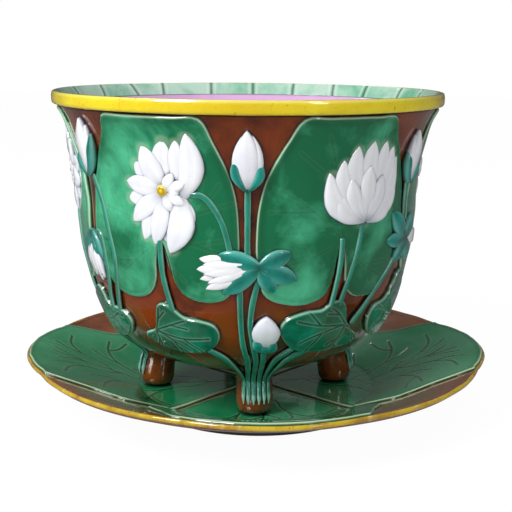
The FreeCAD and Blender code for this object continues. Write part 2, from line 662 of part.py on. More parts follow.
def dish_body():
    """Shallow dish with a flat well and a foot ring under it."""
    edge_radius = DISH_RADIUS - LIP_BAND_WIDTH
    top = [p for p in dish_points(PAD_THICKNESS) if p.x < edge_radius - LIP_BAND_WIDTH]
    curve_top = smooth_curve(dish_points(PAD_THICKNESS))
    edge = curve_top.intersect(Part.Plane(Vector(edge_radius, 0, 0), Vector(1, 0, 0)))[0][0]
    edge_top = Vector(edge_radius, 0, edge.Z)
    edge_low = Vector(edge_radius, 0, edge.Z - LIP_BAND_DEPTH)
    ring_out = FOOT_RING_RADIUS + FOOT_RING_WIDTH / 2
    ring_in = FOOT_RING_RADIUS - FOOT_RING_WIDTH / 2
    shoulder = Vector(ring_out, 0, WELL_HEIGHT - PAD_THICKNESS - DISH_WALL / 2)
    underside = [Vector(p.x + DISH_WALL / 2, 0, p.z - DISH_WALL) for p in top[2:]]
    under_curve = smooth_curve([shoulder] + underside + [edge_low])
    upper_curve = smooth_curve(top + [edge_top])
    well = WELL_HEIGHT - PAD_THICKNESS
    path = [Vector(0, 0, well), top[0]]
    low = [shoulder, Vector(ring_out, 0, 0), Vector(ring_in, 0, 0),
           Vector(ring_in, 0, FOOT_RING_HEIGHT - PAD_THICKNESS),
           Vector(0, 0, FOOT_RING_HEIGHT - PAD_THICKNESS), path[0]]
    edges = [segment(path[0], path[1]), upper_curve.toShape(), segment(edge_top, edge_low),
             under_curve.toShape()]
    edges += [segment(a, b) for a, b in zip(low, low[1:])]
    return revolve(edges), edge_top, edge_low


def lip_band(edge_top, edge_low):
    """Yellow band that closes the dish's edge and follows its lobes."""
    reach = DISH_RADIUS + 2 * DISH_LOBE
    start_top = Vector(edge_top.x + SLIP, 0, edge_top.z)
    start_low = Vector(edge_low.x + SLIP, 0, edge_low.z)
    rise = DISH_PROFILE[-1][1] - PAD_THICKNESS
    out_top = Vector(reach, 0, rise)
    out_low = Vector(reach, 0, rise - LIP_BAND_DEPTH)
    ring = revolve([segment(start_top, out_top), segment(out_top, out_low),
                    segment(out_low, start_low), segment(start_low, start_top)])
    return ring.common(lobed_block(0.0))


def lily_pad_outline(growth):
    """Wire around one lily pad lying along -Y, from the middle of the dish to its edge."""
    tip = DISH_RADIUS + DISH_LOBE
    right = [Vector(b + growth, -a, 0) for a, b in LILY_PAD_HALF]
    left = [Vector(-b - growth, -a, 0) for a, b in LILY_PAD_HALF]
    heart = Vector(0, -LILY_PAD_HEART + growth, 0)
    side_right = smooth_curve([heart] + right).toShape()
    side_left = smooth_curve([heart] + left).toShape()
    end = Part.Arc(right[-1], Vector(0, -(tip + 2 * DISH_LOBE), 0), left[-1]).toShape()
    return Part.Wire(Part.__sortEdges__([side_right, end, side_left]))


def lily_pads():
    """Four overlapping lily pads on the dish; the front and rear ones lie on top."""
    low = dish_points(PAD_THICKNESS - SLIP)
    high = dish_points(0.0)
    low_well = Vector(0, 0, low[0].z)
    high_well = Vector(0, 0, high[0].z)
    sheet = revolve([smooth_curve(low).toShape(), smooth_curve(high).toShape(),
                     segment(low[-1], high[-1]), segment(low_well, low[0]),
                     segment(high_well, high[0]), segment(low_well, high_well)])
    sheet = sheet.common(lobed_block(LILY_PAD_MARGIN))
    height = Vector(0, 0, 2 * DISH_PROFILE[-1][1])
    pads = {}
    upper = []
    for turn, side in ((0, "front"), (180, "rear"), (90, "right"), (270, "left")):
        azimuth = DISH_LOBE_AZIMUTH + turn
        block = Part.Face(lily_pad_outline(0.0)).extrude(height)
        block.rotate(CENTRE, AXIS, azimuth)
        pad = sheet.common(block)
        pads["lily_pad_" + side] = pad.cut(upper) if turn in (90, 270) else pad
        if turn in (0, 180):
            room = Part.Face(lily_pad_outline(LILY_PAD_GAP)).extrude(height)
            room.rotate(CENTRE, AXIS, azimuth)
            upper.append(room)
    return pads


def build_dish():
    """Every piece of the dish by node name."""
    body, edge_top, edge_low = dish_body()
    pieces = {"dish_body": body, "dish_lip_band": lip_band(edge_top, edge_low)}
    pieces.update(lily_pads())
    return pieces


# ---------------------------------------------------------------- hand over

def main():
    """Write each piece to its own file."""
    os.makedirs("parts", exist_ok=True)
    bowl = build_bowl()
    for shape in bowl.values():
        shape.translate(Vector(BOWL_SHIFT, 0, WELL_HEIGHT))
    pieces = dict(build_dish())
    pieces.update(bowl)
    for name, shape in pieces.items():
        shape.exportStep("parts/" + name + ".step")
        print(name, len(shape.Solids), round(shape.Volume), shape.isValid())
    print(len(pieces), "nodes")


if __name__ == "__main__":
    main()
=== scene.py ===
"""Water-lily jardiniere on its dish: glazed earthenware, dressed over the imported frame.

Lengths in the tables are millimetres and azimuths are degrees, measured from the front (-Y)
towards +X. Heights on the jardiniere are above the dish's well. Every mesh is made in metres
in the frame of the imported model.
"""

import logging
import math
from dataclasses import dataclass, field
from enum import Enum
from typing import ClassVar

import bmesh
import bpy
import numpy as np
from mathutils import Matrix, Vector


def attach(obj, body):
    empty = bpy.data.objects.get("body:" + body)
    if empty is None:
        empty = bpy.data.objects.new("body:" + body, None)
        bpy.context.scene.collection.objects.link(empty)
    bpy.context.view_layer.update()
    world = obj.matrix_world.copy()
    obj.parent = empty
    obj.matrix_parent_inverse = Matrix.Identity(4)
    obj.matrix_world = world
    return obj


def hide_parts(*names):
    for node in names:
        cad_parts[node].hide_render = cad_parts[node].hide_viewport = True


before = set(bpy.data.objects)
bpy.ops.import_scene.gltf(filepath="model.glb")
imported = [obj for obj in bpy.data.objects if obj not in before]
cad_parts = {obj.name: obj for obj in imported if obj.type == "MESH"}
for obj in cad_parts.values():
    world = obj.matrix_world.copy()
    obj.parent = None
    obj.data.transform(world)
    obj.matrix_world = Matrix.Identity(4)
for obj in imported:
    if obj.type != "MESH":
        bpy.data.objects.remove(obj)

LOG = logging.getLogger("jardiniere")
MM = 0.001

# ---------------------------------------------------------------- sizes of the pottery

BOWL_SHIFT = -10.0
WELL_HEIGHT = 14.0
RIM_RADIUS = 178.0
BOWL_HEIGHT = 279.0
RIM_FOOT = 267.2
LIP_RADIUS = 168.0
WALL_THICKNESS = 8.5
UNDERSIDE_HEIGHT = 34.5
FLOOR_HEIGHT = 44.5
WALL_PROFILE = [(60.0, 34.5), (85.0, 38.0), (104.0, 46.5), (119.5, 59.5), (131.0, 75.5),
                (138.0, 94.0), (143.4, 112.0), (149.2, 138.0), (152.3, 165.0), (153.3, 192.0),
                (155.6, 216.0), (160.2, 236.0), (165.2, 254.0), (171.6, 267.0)]
DISH_RADIUS = 210.0
DISH_LOBE = 8.0
DISH_LOBE_HALF_ANGLE = 20.0
DISH_AZIMUTH = 3.0
PAD_THICKNESS = 2.2
DISH_PROFILE = [(0.0, 14.0), (60.0, 14.0), (106.0, 14.0), (115.0, 16.4), (130.0, 22.5),
                (150.0, 30.5), (175.0, 39.8), (197.0, 47.6), (210.0, 51.2), (218.0, 52.0)]
FOOT_AZIMUTH = 5.0
FOOT_SECTIONS = [(0.0, 85.0, 9.5), (1.2, 85.2, 12.3), (4.5, 85.6, 14.9), (11.0, 85.8, 16.3),
                 (20.0, 85.0, 16.2), (29.0, 83.5, 15.8), (37.0, 82.6, 17.2)]
GROUND_RADIUS = 203.0
RECESS_HEIGHT = 3.8
STEM_RADIUS = 2.7
STEM_LIFT = 1.9
# Place inside a foot that its stems face away from
FOOT_AXIS = 84.0
STEM_AIM_HEIGHT = 60.0
# Level of the underside of a relief piece against the surface of the wall
SUNK = -0.5
HALF_TURN = 180.0
SIDES = ("front", "right", "rear", "left")
# Power by which the rings of a leaf crowd towards its edge
EDGE_CROWDING = 1.5

LEAF_PANELS = {
    "left": (-29.0, (-28.5, 186.0), (-27.0, 166.0), [
        (-27.0, 163.0), (-28.9, 148.0), (-29.8, 131.0), (-32.6, 118.0), (-37.5, 111.5),
        (-44.0, 110.5), (-50.5, 117.0), (-55.0, 134.0), (-57.3, 160.0), (-57.2, 184.0),
        (-55.2, 208.0), (-51.0, 230.0), (-46.4, 250.0), (-43.3, 265.5), (-35.0, 266.2),
        (-21.0, 266.2), (-13.0, 265.5), (-9.7, 248.0), (-6.0, 226.0), (-3.4, 204.0),
        (-2.4, 180.0), (-2.2, 156.0), (-3.2, 130.0), (-7.5, 116.0), (-14.0, 113.0),
        (-20.0, 117.5), (-23.4, 129.0), (-24.8, 147.0)]),
    "right": (30.0, (30.2, 186.0), (30.0, 164.0), [
        (30.0, 161.0), (31.6, 146.0), (32.5, 130.0), (34.6, 119.0), (39.0, 112.5),
        (46.0, 111.5), (52.0, 118.0), (56.0, 134.0), (58.0, 158.0), (58.3, 182.0),
        (57.0, 206.0), (53.2, 228.0), (48.4, 248.0), (44.6, 265.0), (36.0, 266.2),
        (23.0, 266.2), (15.0, 265.5), (11.0, 248.0), (7.0, 228.0), (4.0, 206.0),
        (2.6, 182.0), (2.4, 156.0), (3.6, 130.0), (7.0, 117.0), (14.0, 111.0),
        (21.0, 111.5), (26.0, 118.0), (28.0, 131.0), (28.8, 147.0)]),
    "side": (90.0, (90.0, 186.0), (90.0, 165.0), [
        (90.0, 162.0), (91.6, 147.0), (92.6, 130.0), (95.5, 118.0), (100.5, 112.0),
        (106.5, 112.5), (112.0, 120.0), (115.8, 136.0), (117.6, 160.0), (117.6, 184.0),
        (116.0, 208.0), (112.4, 230.0), (107.6, 250.0), (104.0, 265.5), (96.0, 266.2),
        (84.0, 266.2), (76.0, 265.5), (72.0, 250.0), (67.6, 230.0), (64.0, 208.0),
        (62.4, 184.0), (62.4, 160.0), (64.2, 136.0), (68.0, 120.0), (73.5, 112.5),
        (79.5, 112.0), (84.5, 118.0), (87.4, 130.0), (88.4, 147.0)]),
}

SMALL_LEAVES = {
    "left": (-25.0, (-25.0, 86.0), (-33.5, 84.0), [
        (-40.0, 78.0), (-34.5, 85.0), (-32.8, 98.0), (-31.5, 107.0), (-28.6, 110.5),
        (-25.2, 107.0), (-21.5, 100.0), (-16.0, 98.0), (-11.2, 94.5), (-9.2, 86.0),
        (-10.4, 76.0), (-15.5, 67.0), (-24.0, 64.5), (-33.5, 68.0)]),
    "right": (29.0, (28.0, 86.0), (36.5, 89.0), [
        (11.0, 91.0), (13.6, 100.5), (19.5, 105.5), (25.4, 106.5), (28.6, 111.5),
        (32.8, 112.5), (35.6, 106.0), (37.4, 93.0), (41.0, 83.0), (45.8, 74.5),
        (44.6, 68.0), (36.0, 65.5), (25.0, 65.0), (17.5, 69.5), (12.8, 80.0)]),
    "side_left": (65.0, (66.0, 92.0), (58.5, 92.0), [
        (48.6, 92.0), (50.8, 101.0), (56.5, 103.5), (60.0, 112.0), (62.6, 124.5),
        (66.5, 126.0), (70.5, 119.0), (74.5, 106.0), (79.5, 92.0), (81.0, 80.0),
        (76.5, 69.0), (66.0, 65.5), (55.5, 70.0), (49.8, 80.0)]),
    "side_right": (-63.0, (-64.0, 84.0), (-57.5, 84.0), [
        (-45.6, 86.0), (-49.0, 94.5), (-55.0, 96.5), (-59.5, 97.0), (-62.6, 108.5),
        (-66.5, 110.5), (-71.5, 104.0), (-77.0, 96.0), (-80.2, 84.0), (-77.5, 71.0),
        (-68.0, 65.0), (-57.0, 66.0), (-48.6, 74.0)]),
}

# Petals are (foot azimuth, foot height, tip azimuth, tip height, width), and some say how far
# they bow sideways as a share of their length. A bud has its middle, its petals and its sepals
BUDS = {
    "middle": (0.0,
               [(-1.8, 212.0, -1.4, 252.0, 10.0, 0.05), (1.8, 212.0, 1.2, 252.0, 10.0, -0.05),
                (0.0, 210.0, -0.3, 256.0, 15.0, 0.0)],
               [(-0.4, 208.0, -3.2, 237.0, 7.0, 0.14), (0.4, 208.0, 3.2, 234.0, 7.0, -0.14)]),
    "right": (60.0,
              [(58.8, 210.0, 59.2, 247.0, 10.0, 0.05), (61.6, 210.0, 61.6, 246.0, 10.0, -0.05),
               (60.2, 208.0, 60.6, 251.0, 14.5, 0.0)],
              [(59.8, 205.5, 57.0, 235.0, 7.0, 0.14), (60.6, 205.5, 63.4, 230.0, 7.0, -0.14)]),
    "left": (-58.0,
             [(-58.4, 216.0, -58.2, 256.0, 10.0, 0.05), (-56.0, 216.0, -54.2, 254.0, 10.0, -0.05),
              (-57.3, 213.0, -56.0, 260.0, 15.0, 0.0)],
             [(-57.2, 210.5, -52.2, 247.0, 8.0, -0.1), (-57.6, 210.5, -60.4, 236.0, 7.0, 0.14)]),
}
LOW_BUD = [(4.9, 78.0, 5.2, 99.0, 11.0, 0.08), (8.0, 78.0, 8.2, 98.0, 11.0, -0.08),
           (6.4, 75.0, 6.5, 102.5, 18.0, 0.0)]
LOW_BUD_SEPALS = [(6.0, 71.5, 3.6, 86.0, 8.0, 0.14), (6.8, 71.5, 9.4, 83.0, 8.0, -0.14),
                  (6.4, 71.0, 6.6, 80.0, 11.0, 0.0)]
# Relief, share of it at the tip, and bluntness of the petals of a bud
BUD_SIDE_STYLE = (7.4, 0.4, 0.3)
BUD_FRONT_STYLE = (8.6, 0.45, 0.5)
BUD_SEPAL_STYLE = (8.8, 0.35, 0.2)
OPEN_FLOWER_HEART = (-25.2, 206.0)
# Outer petals of the open flower, from the back layer
OPEN_FLOWER_PETALS = [
    (-25.2, 208.0, -24.0, 248.5, 17.0, 0.03), (-25.2, 206.0, -35.2, 228.0, 15.0, 0.03),
    (-25.2, 205.0, -38.6, 196.0, 15.0, 0.02), (-24.0, 203.0, -25.0, 163.0, 15.0, 0.02),
    (-25.2, 204.0, -32.8, 163.5, 15.0, -0.04), (-20.6, 202.0, -18.2, 171.0, 14.0, 0.10),
    (-20.0, 208.0, -20.2, 247.0, 15.0, -0.02), (-25.2, 207.0, -31.2, 241.0, 18.0, 0.03),
    (-25.2, 205.0, -38.6, 211.0, 15.0, -0.02), (-25.2, 204.0, -36.6, 178.0, 15.0, -0.03),
    (-25.0, 203.0, -28.8, 160.5, 15.0, 0.03), (-19.6, 199.0, -16.8, 253.0, 18.0, -0.11),
    (-20.2, 205.0, -23.6, 154.5, 20.0, 0.12)]
OPEN_FLOWER_INNER = [
    (-24.0, 206.0, -17.6, 214.0, 8.0), (-24.0, 204.0, -18.2, 195.0, 8.0),
    (-24.6, 207.0, -21.6, 221.0, 8.0), (-24.6, 203.0, -22.4, 189.0, 8.0),
    (-23.2, 205.0, -19.8, 205.0, 7.0)]
# Flowers whose petals share one foot list their tips as (azimuth, height, width)
HALF_FLOWER_FOOT = (37.6, 180.0)
HALF_FLOWER_TIPS = [(24.0, 221.0, 17.0), (28.2, 231.0, 18.0), (32.5, 242.0, 19.0),
                    (38.2, 245.5, 21.0), (43.4, 245.0, 20.0), (47.0, 240.0, 19.0),
                    (49.6, 231.0, 18.0), (50.6, 217.0, 18.0), (26.0, 209.0, 17.0),
                    (48.6, 204.0, 18.0)]
# Tips from the back layer to the front
HALF_FLOWER_ORDER = (8, 9, 0, 7, 1, 6, 2, 5, 3, 4)
# Inner petals of the half-open flower, with azimuths from its foot
HALF_FLOWER_INNER = [(-6.5, 216.0, 16.0), (6.0, 217.0, 16.0), (0.2, 226.0, 18.0),
                     (-3.4, 206.0, 15.0), (3.4, 204.0, 15.0)]
SIDE_FLOWER_HEART = (98.0, 208.0)
SIDE_FLOWER_TIPS = [(98.4, 250.0, 17.0), (91.6, 244.0, 17.0), (86.6, 231.0, 16.0),
                    (84.6, 213.0, 15.0), (86.4, 195.0, 15.0), (90.4, 179.0, 15.0),
                    (96.0, 169.0, 15.0), (102.4, 172.0, 15.0), (107.4, 184.0, 15.0),
                    (110.2, 200.0, 15.0), (110.0, 218.0, 16.0), (105.4, 238.0, 17.0)]
# Share of its length and width that the short petal before a side flower's petal has
SHORT_PETAL = (0.42, 0.5)
# Half width of the pale halo round a petal, as a share of the petal's width, and the azimuth
# up to which a flower marks a leaf
HALO_HALF = 0.3
HALO_REACH = 40.0
# Middle azimuth, foot, tips of the white petals, and sepals
WEDGE_FLOWERS = {
    "lying_flower": (0.0, (3.6, 147.0),
                     [(-14.8, 152.0, 11.0), (-15.4, 143.0, 12.0), (-14.6, 134.5, 11.0),
                      (-12.8, 126.5, 11.0)],
                     [(3.6, 147.0, -8.8, 155.5, 12.0), (3.6, 146.0, -7.6, 123.0, 11.0),
                      (3.6, 147.0, 13.2, 157.5, 11.0), (3.6, 147.0, 15.4, 134.0, 12.0),
                      (3.6, 147.0, 8.4, 124.5, 11.0)]),
    "hanging_flower": (-58.0, (-58.0, 160.0),
                       [(-66.0, 128.0, 12.0), (-62.6, 120.0, 13.0), (-59.0, 117.0, 13.0),
                        (-55.6, 121.0, 12.0)],
                       [(-58.0, 162.0, -66.6, 140.0, 12.0), (-58.0, 162.0, -59.8, 131.0, 14.0),
                        (-58.0, 162.0, -53.8, 138.0, 11.0)]),
    "pointing_flower": (60.0, (60.2, 157.0),
                        [(72.6, 164.0, 11.0), (74.6, 156.0, 12.0), (73.6, 147.0, 11.0)],
                        [(60.2, 157.0, 52.2, 182.0, 13.0), (60.2, 157.0, 49.6, 158.0, 10.0),
                         (60.2, 157.0, 55.4, 137.0, 10.0), (60.2, 157.0, 68.4, 176.0, 11.0),
                         (60.2, 157.0, 67.6, 135.0, 11.0)]),
}
# Middle azimuth and the stems' (azimuth, height) points
WALL_STEMS = [
    (0.0, [[(0.0, 217.0), (0.0, 190.0), (0.0, 150.0)],
           [(-2.4, 146.0), (-2.2, 120.0), (-2.0, 96.0), (-1.4, 78.0), (-0.4, 66.0)],
           [(4.0, 142.0), (1.8, 114.0), (1.2, 94.0), (2.2, 78.0), (3.2, 66.0)],
           [(6.4, 76.0), (6.3, 66.0)]]),
    (-16.0, [[(-17.0, 204.0), (-13.0, 202.0), (-9.6, 192.0), (-6.8, 176.0), (-4.6, 152.0)],
             [(-27.2, 168.0), (-27.3, 148.0), (-27.0, 131.0), (-25.4, 104.0)]]),
    (34.0, [[(30.0, 166.0), (30.0, 148.0), (29.6, 131.0), (28.8, 106.0)],
            [(37.8, 184.0), (36.0, 153.0), (34.0, 131.0), (32.2, 108.0)]]),
    (55.0, [[(60.0, 213.0), (60.2, 186.0), (60.2, 156.0)],
            [(59.4, 155.0), (54.6, 137.0), (49.6, 121.0), (41.6, 94.0), (40.0, 88.0)]]),
    (92.0, [[(90.0, 167.0), (90.2, 150.0), (91.4, 130.0), (92.6, 96.0), (93.4, 66.0)],
            [(97.6, 176.0), (98.4, 140.0), (97.4, 100.0), (97.0, 66.0)]]),
    (-52.0, [[(-55.8, 212.0), (-51.4, 188.0), (-48.8, 166.0), (-47.0, 143.0),
              (-48.4, 121.0), (-51.0, 98.0), (-52.0, 90.0)],
             [(-58.2, 159.0), (-55.6, 162.5), (-53.2, 156.0), (-52.6, 130.0),
              (-55.4, 104.0), (-56.0, 92.0)]]),
]
# Points under the wall, and the angle round the foot from its outward side
FRONT_FOOT_STEMS = [
    ([(-14.0, 70.0), (-7.4, 58.5)], -68.0),
    ([(-0.3, 66.0), (0.6, 58.0)], -41.0),
    ([(3.3, 66.0), (3.8, 58.0)], -14.0),
    ([(6.3, 66.0), (6.5, 58.0)], 13.0),
    ([(17.0, 71.0), (11.4, 58.5)], 40.0),
    ([(22.4, 68.0), (15.6, 57.5)], 67.0),
]
SIDE_FOOT_STEMS = [
    ([(79.6, 66.0), (84.0, 58.0)], -64.0),
    ([(93.4, 66.0), (93.6, 58.0)], -14.0),
    ([(97.0, 66.0), (96.6, 58.0)], 14.0),
    ([(110.4, 66.0), (106.0, 58.0)], 64.0),
]
STEM_FOOT_HEIGHTS = (36.0, 26.0, 17.0, 12.0)
# Share of its angle round the foot that a stem keeps in the scene
STEM_GATHER = 0.58

LILY_PAD_HALF = [(46.0, 42.0), (80.0, 76.0), (113.0, 99.0), (128.0, 97.0), (152.0, 88.0),
                 (178.0, 83.0), (199.0, 74.0)]
LILY_PAD_HEART = 12.0
LILY_PAD_MIDDLE = 118.0
# Veins on a lily pad: the midrib, then side branches on one half, as (across, along) points
PAD_VEINS = [
    [(0.0, 22.0), (3.0, 70.0), (-2.0, 120.0), (2.0, 160.0), (-1.0, 194.0)],
    [(2.0, 162.0), (5.0, 174.0), (13.0, 188.0)],
    [(1.0, 42.0), (13.0, 58.0), (20.0, 84.0), (40.0, 100.0), (66.0, 104.0)],
    [(20.0, 82.0), (25.0, 98.0), (24.0, 114.0)],
    [(40.0, 100.0), (54.0, 93.0), (66.0, 82.0)],
    [(0.0, 92.0), (14.0, 104.0), (24.0, 128.0), (44.0, 140.0), (68.0, 141.0)],
    [(24.0, 127.0), (27.0, 142.0), (38.0, 156.0)],
    [(46.0, 140.0), (56.0, 131.0), (74.0, 124.0)],
    [(-1.0, 130.0), (11.0, 144.0), (17.0, 162.0), (33.0, 175.0), (54.0, 177.0)],
    [(17.0, 161.0), (20.0, 176.0), (30.0, 190.0)],
]


# ---------------------------------------------------------------- curves and surfaces

def smooth_path(points: list, count: int, closed: bool = False) -> np.ndarray:
    """Smooth curve through points, at equal steps of length.

    Between p1 and p2 the curve is (2 p1 + (p2 - p0) t + (2 p0 - 5 p1 + 4 p2 - p3) t^2
    + (3 p1 - p0 - 3 p2 + p3) t^3) / 2.

    Args:
        points: the points in order.
        count: how many points to return.
        closed: whether the last point runs on to the first.

    Returns:
        An array of count rows.
    """
    known = np.asarray(points, float)
    if closed:
        known = np.vstack([known[-1:], known, known[:2]])
    else:
        known = np.vstack([2 * known[0] - known[1], known, 2 * known[-1] - known[-2]])
    spans = len(known) - 3
    at = np.linspace(0, spans, spans * 40 + 1)
    index = np.minimum(at.astype(int), spans - 1)
    t = (at - index)[:, None]
    p0, p1, p2, p3 = (known[index + k] for k in range(4))
    dense = (2 * p1 + (p2 - p0) * t + (2 * p0 - 5 * p1 + 4 * p2 - p3) * t ** 2
             + (3 * p1 - p0 - 3 * p2 + p3) * t ** 3) / 2
    run = np.r_[0, np.cumsum(np.linalg.norm(np.diff(dense, axis=0), axis=1))]
    goal = np.linspace(0, run[-1], count, endpoint=not closed)
    return np.stack([np.interp(goal, run, column) for column in dense.T], axis=1)


def circle(count: int) -> np.ndarray:
    """Angles round a full turn."""
    return np.linspace(0, 2 * math.pi, count, endpoint=False)


def turned(across: np.ndarray, along: np.ndarray, turn: float) -> list[np.ndarray]:
    """The x and y of places across and along an azimuth in radians."""
    return [across * math.cos(turn) + along * math.sin(turn),
            across * math.sin(turn) - along * math.cos(turn)]


def bell(value: np.ndarray, middle: float, width: float) -> np.ndarray:
    """Bell exp(-((value - middle) / width)^2)."""
    return np.exp(-((value - middle) / width) ** 2)


def ease(value: np.ndarray, low: float, high: float) -> np.ndarray:
    """Smooth step 3 t^2 - 2 t^3 from 0 at low to 1 at high."""
    t = np.clip((value - low) / (high - low), 0, 1)
    return t * t * (3 - 2 * t)


def ripple(points: np.ndarray, scale: float, seed: int) -> np.ndarray:
    """Smooth wander between -1 and 1: the mean of five sines of directions drawn from a seed.

    Args:
        points: rows of coordinates.
        scale: wavelength in the unit of the points.
        seed: number that the directions and phases are drawn from.

    Returns:
        One value per row.
    """
    draw = np.random.default_rng(seed)
    total = np.zeros(len(points))
    for _ in range(5):
        way = draw.normal(size=points.shape[1])
        way *= draw.uniform(0.6, 1.6) * 2 * math.pi / (scale * np.linalg.norm(way))
        total += np.sin(points @ way + draw.uniform(0, 2 * math.pi))
    return total / 5


def line_distance(points: np.ndarray, line: np.ndarray) -> np.ndarray:
    """Distance of each point to a broken line, as the least distance to its segments."""
    best = np.full(len(points), np.inf)
    for start, end in zip(line[:-1], line[1:]):
        along = end - start
        share = np.clip((points - start) @ along / max(along @ along, 1e-9), 0, 1)
        best = np.minimum(best, np.linalg.norm(points - start - share[:, None] * along, axis=1))
    return best


class Wall:
    """Outside of the clay wall, on which flat coordinates seen from an azimuth are laid."""

    def __init__(self) -> None:
        """Works out the profile's points and its normals (dz, -dr) / length."""
        curve = smooth_path(WALL_PROFILE, 900)
        along = np.gradient(curve, axis=0)
        along /= np.linalg.norm(along, axis=1)[:, None]
        self.radius, self.height = curve.T
        self.out, self.up = along[:, 1], -along[:, 0]

    def radius_at(self, height: np.ndarray) -> np.ndarray:
        """Outside radius at each height."""
        return np.interp(height, self.height, self.radius)

    def flat(self, azimuth: float, height: float, middle: float) -> tuple[float, float]:
        """Flat (across, height) place of an (azimuth, height) point seen from the middle."""
        return (float(self.radius_at(height)) * math.sin(math.radians(azimuth - middle)), height)

    def place(self, flat: np.ndarray, lift: np.ndarray, middle: float) -> np.ndarray:
        """Points of the wall in metres, lifted along its normal.

        The azimuth is middle + asin(across / radius).

        Args:
            flat: rows of (across, height).
            lift: distance out from the wall.
            middle: azimuth that the flat coordinates are seen from.

        Returns:
            Rows of (x, y, z).
        """
        across, height = flat.T
        base = self.radius_at(height)
        turn = math.radians(middle) + np.arcsin(np.clip(across / base, -0.999, 0.999))
        radius = base + lift * np.interp(height, self.height, self.out)
        level = height + lift * np.interp(height, self.height, self.up)
        return np.stack([radius * np.sin(turn) + BOWL_SHIFT, -radius * np.cos(turn),
                         level + WELL_HEIGHT], axis=1) * MM


class Dish:
    """Top of the dish with its pads, on which (across, along) plan coordinates are laid."""

    def __init__(self) -> None:
        """Works out the profile's points."""
        self.radius, self.height = smooth_path(DISH_PROFILE, 700).T

    def edge(self, azimuth: np.ndarray) -> np.ndarray:
        """Radius of the lobed edge: the larger of the round dish and four wide arcs.

        A lobe is a circle of radius q whose centre is e = tip - q from the axis, so at an angle
        a from the lobe's middle its radius is e cos a + sqrt(q^2 - e^2 sin^2 a).

        Args:
            azimuth: degrees.

        Returns:
            Radius in millimetres.
        """
        tip = DISH_RADIUS + DISH_LOBE
        spread = math.cos(math.radians(DISH_LOBE_HALF_ANGLE))
        arc = ((tip ** 2 + DISH_RADIUS ** 2 - 2 * tip * DISH_RADIUS * spread)
               / (2 * (tip - DISH_RADIUS * spread)))
        off = np.radians((azimuth - DISH_AZIMUTH + 45) % 90 - 45)
        shift = tip - arc
        lobe = shift * np.cos(off) + np.sqrt(arc ** 2 - (shift * np.sin(off)) ** 2)
        return np.maximum(lobe, DISH_RADIUS)

    def place(self, flat: np.ndarray, lift: np.ndarray, middle: float) -> np.ndarray:
        """Points of the dish's top in metres, lifted straight up.

        Args:
            flat: rows of (across, along), from the dish's centre.
            lift: distance above the profile.
            middle: azimuth of the way along.

        Returns:
            Rows of (x, y, z).
        """
        across, along = flat.T
        turn = math.radians(middle)
        level = np.interp(np.hypot(across, along), self.radius, self.height) + lift
        return np.stack([*turned(across, along, turn), level], axis=1) * MM


WALL = Wall()
DISH = Dish()


# ---------------------------------------------------------------- meshes

@dataclass
class Shell:
    """Closed surface made of rings that run from one pole to the other."""

    points: np.ndarray
    faces: list
    values: dict = field(default_factory=dict)

    @staticmethod
    def of_rings(rings: np.ndarray, start: np.ndarray | None = None,
                 end: np.ndarray | None = None, **values: np.ndarray) -> "Shell":
        """Skin over rings of equal count.

        Args:
            rings: array (rings, points, 3).
            start: pole that closes the first ring, or None where the rings form a loop.
            end: pole that closes the last ring.
            values: per-point numbers, ring by ring with the poles last.

        Returns:
            The closed shell.
        """
        rows, count, _ = rings.shape
        points = rings.reshape(-1, 3)
        here = np.arange(count)
        following = (here + 1) % count
        last = rows if start is None else rows - 1
        low = (np.arange(last) * count)[:, None]
        high = ((np.arange(last) + 1) % rows * count)[:, None]
        quads = np.stack([low + here, low + following, high + following, high + here], axis=2)
        faces = quads.reshape(-1, 4).tolist()
        if start is not None:
            points = np.vstack([points, start, end])
            first, final = rows * count, rows * count + 1
            top = (rows - 1) * count
            faces += np.stack([np.full(count, first), following, here], axis=1).tolist()
            faces += np.stack([np.full(count, final), top + here, top + following],
                              axis=1).tolist()
        return Shell(points, faces, values)


def join(shells: list[Shell]) -> Shell:
    """Several shells as one, each with its own numbers."""
    offset = 0
    faces = []
    for shell in shells:
        faces += [[index + offset for index in face] for face in shell.faces]
        offset += len(shell.points)
    names = {name for shell in shells for name in shell.values}
    values = {name: np.concatenate([shell.values.get(name, np.zeros(len(shell.points)))
                                    for shell in shells]) for name in names}
    return Shell(np.vstack([shell.points for shell in shells]), faces, values)


def face_out(mesh: bpy.types.Mesh) -> None:
    """Turns every loose shell of a mesh so that its normals point outwards."""
    work = bmesh.new()
    work.from_mesh(mesh)
    bmesh.ops.recalc_face_normals(work, faces=work.faces)
    work.to_mesh(mesh)
    work.free()


def turn_points(points: np.ndarray, degrees: float) -> np.ndarray:
    """Points turned about the jardiniere's axis."""
    angle = math.radians(degrees)
    shifted = points - (BOWL_SHIFT * MM, 0, 0)
    matrix = np.array([[math.cos(angle), -math.sin(angle), 0],
                       [math.sin(angle), math.cos(angle), 0], [0, 0, 1]])
    return shifted @ matrix.T + (BOWL_SHIFT * MM, 0, 0)


# ---------------------------------------------------------------- relief shapes

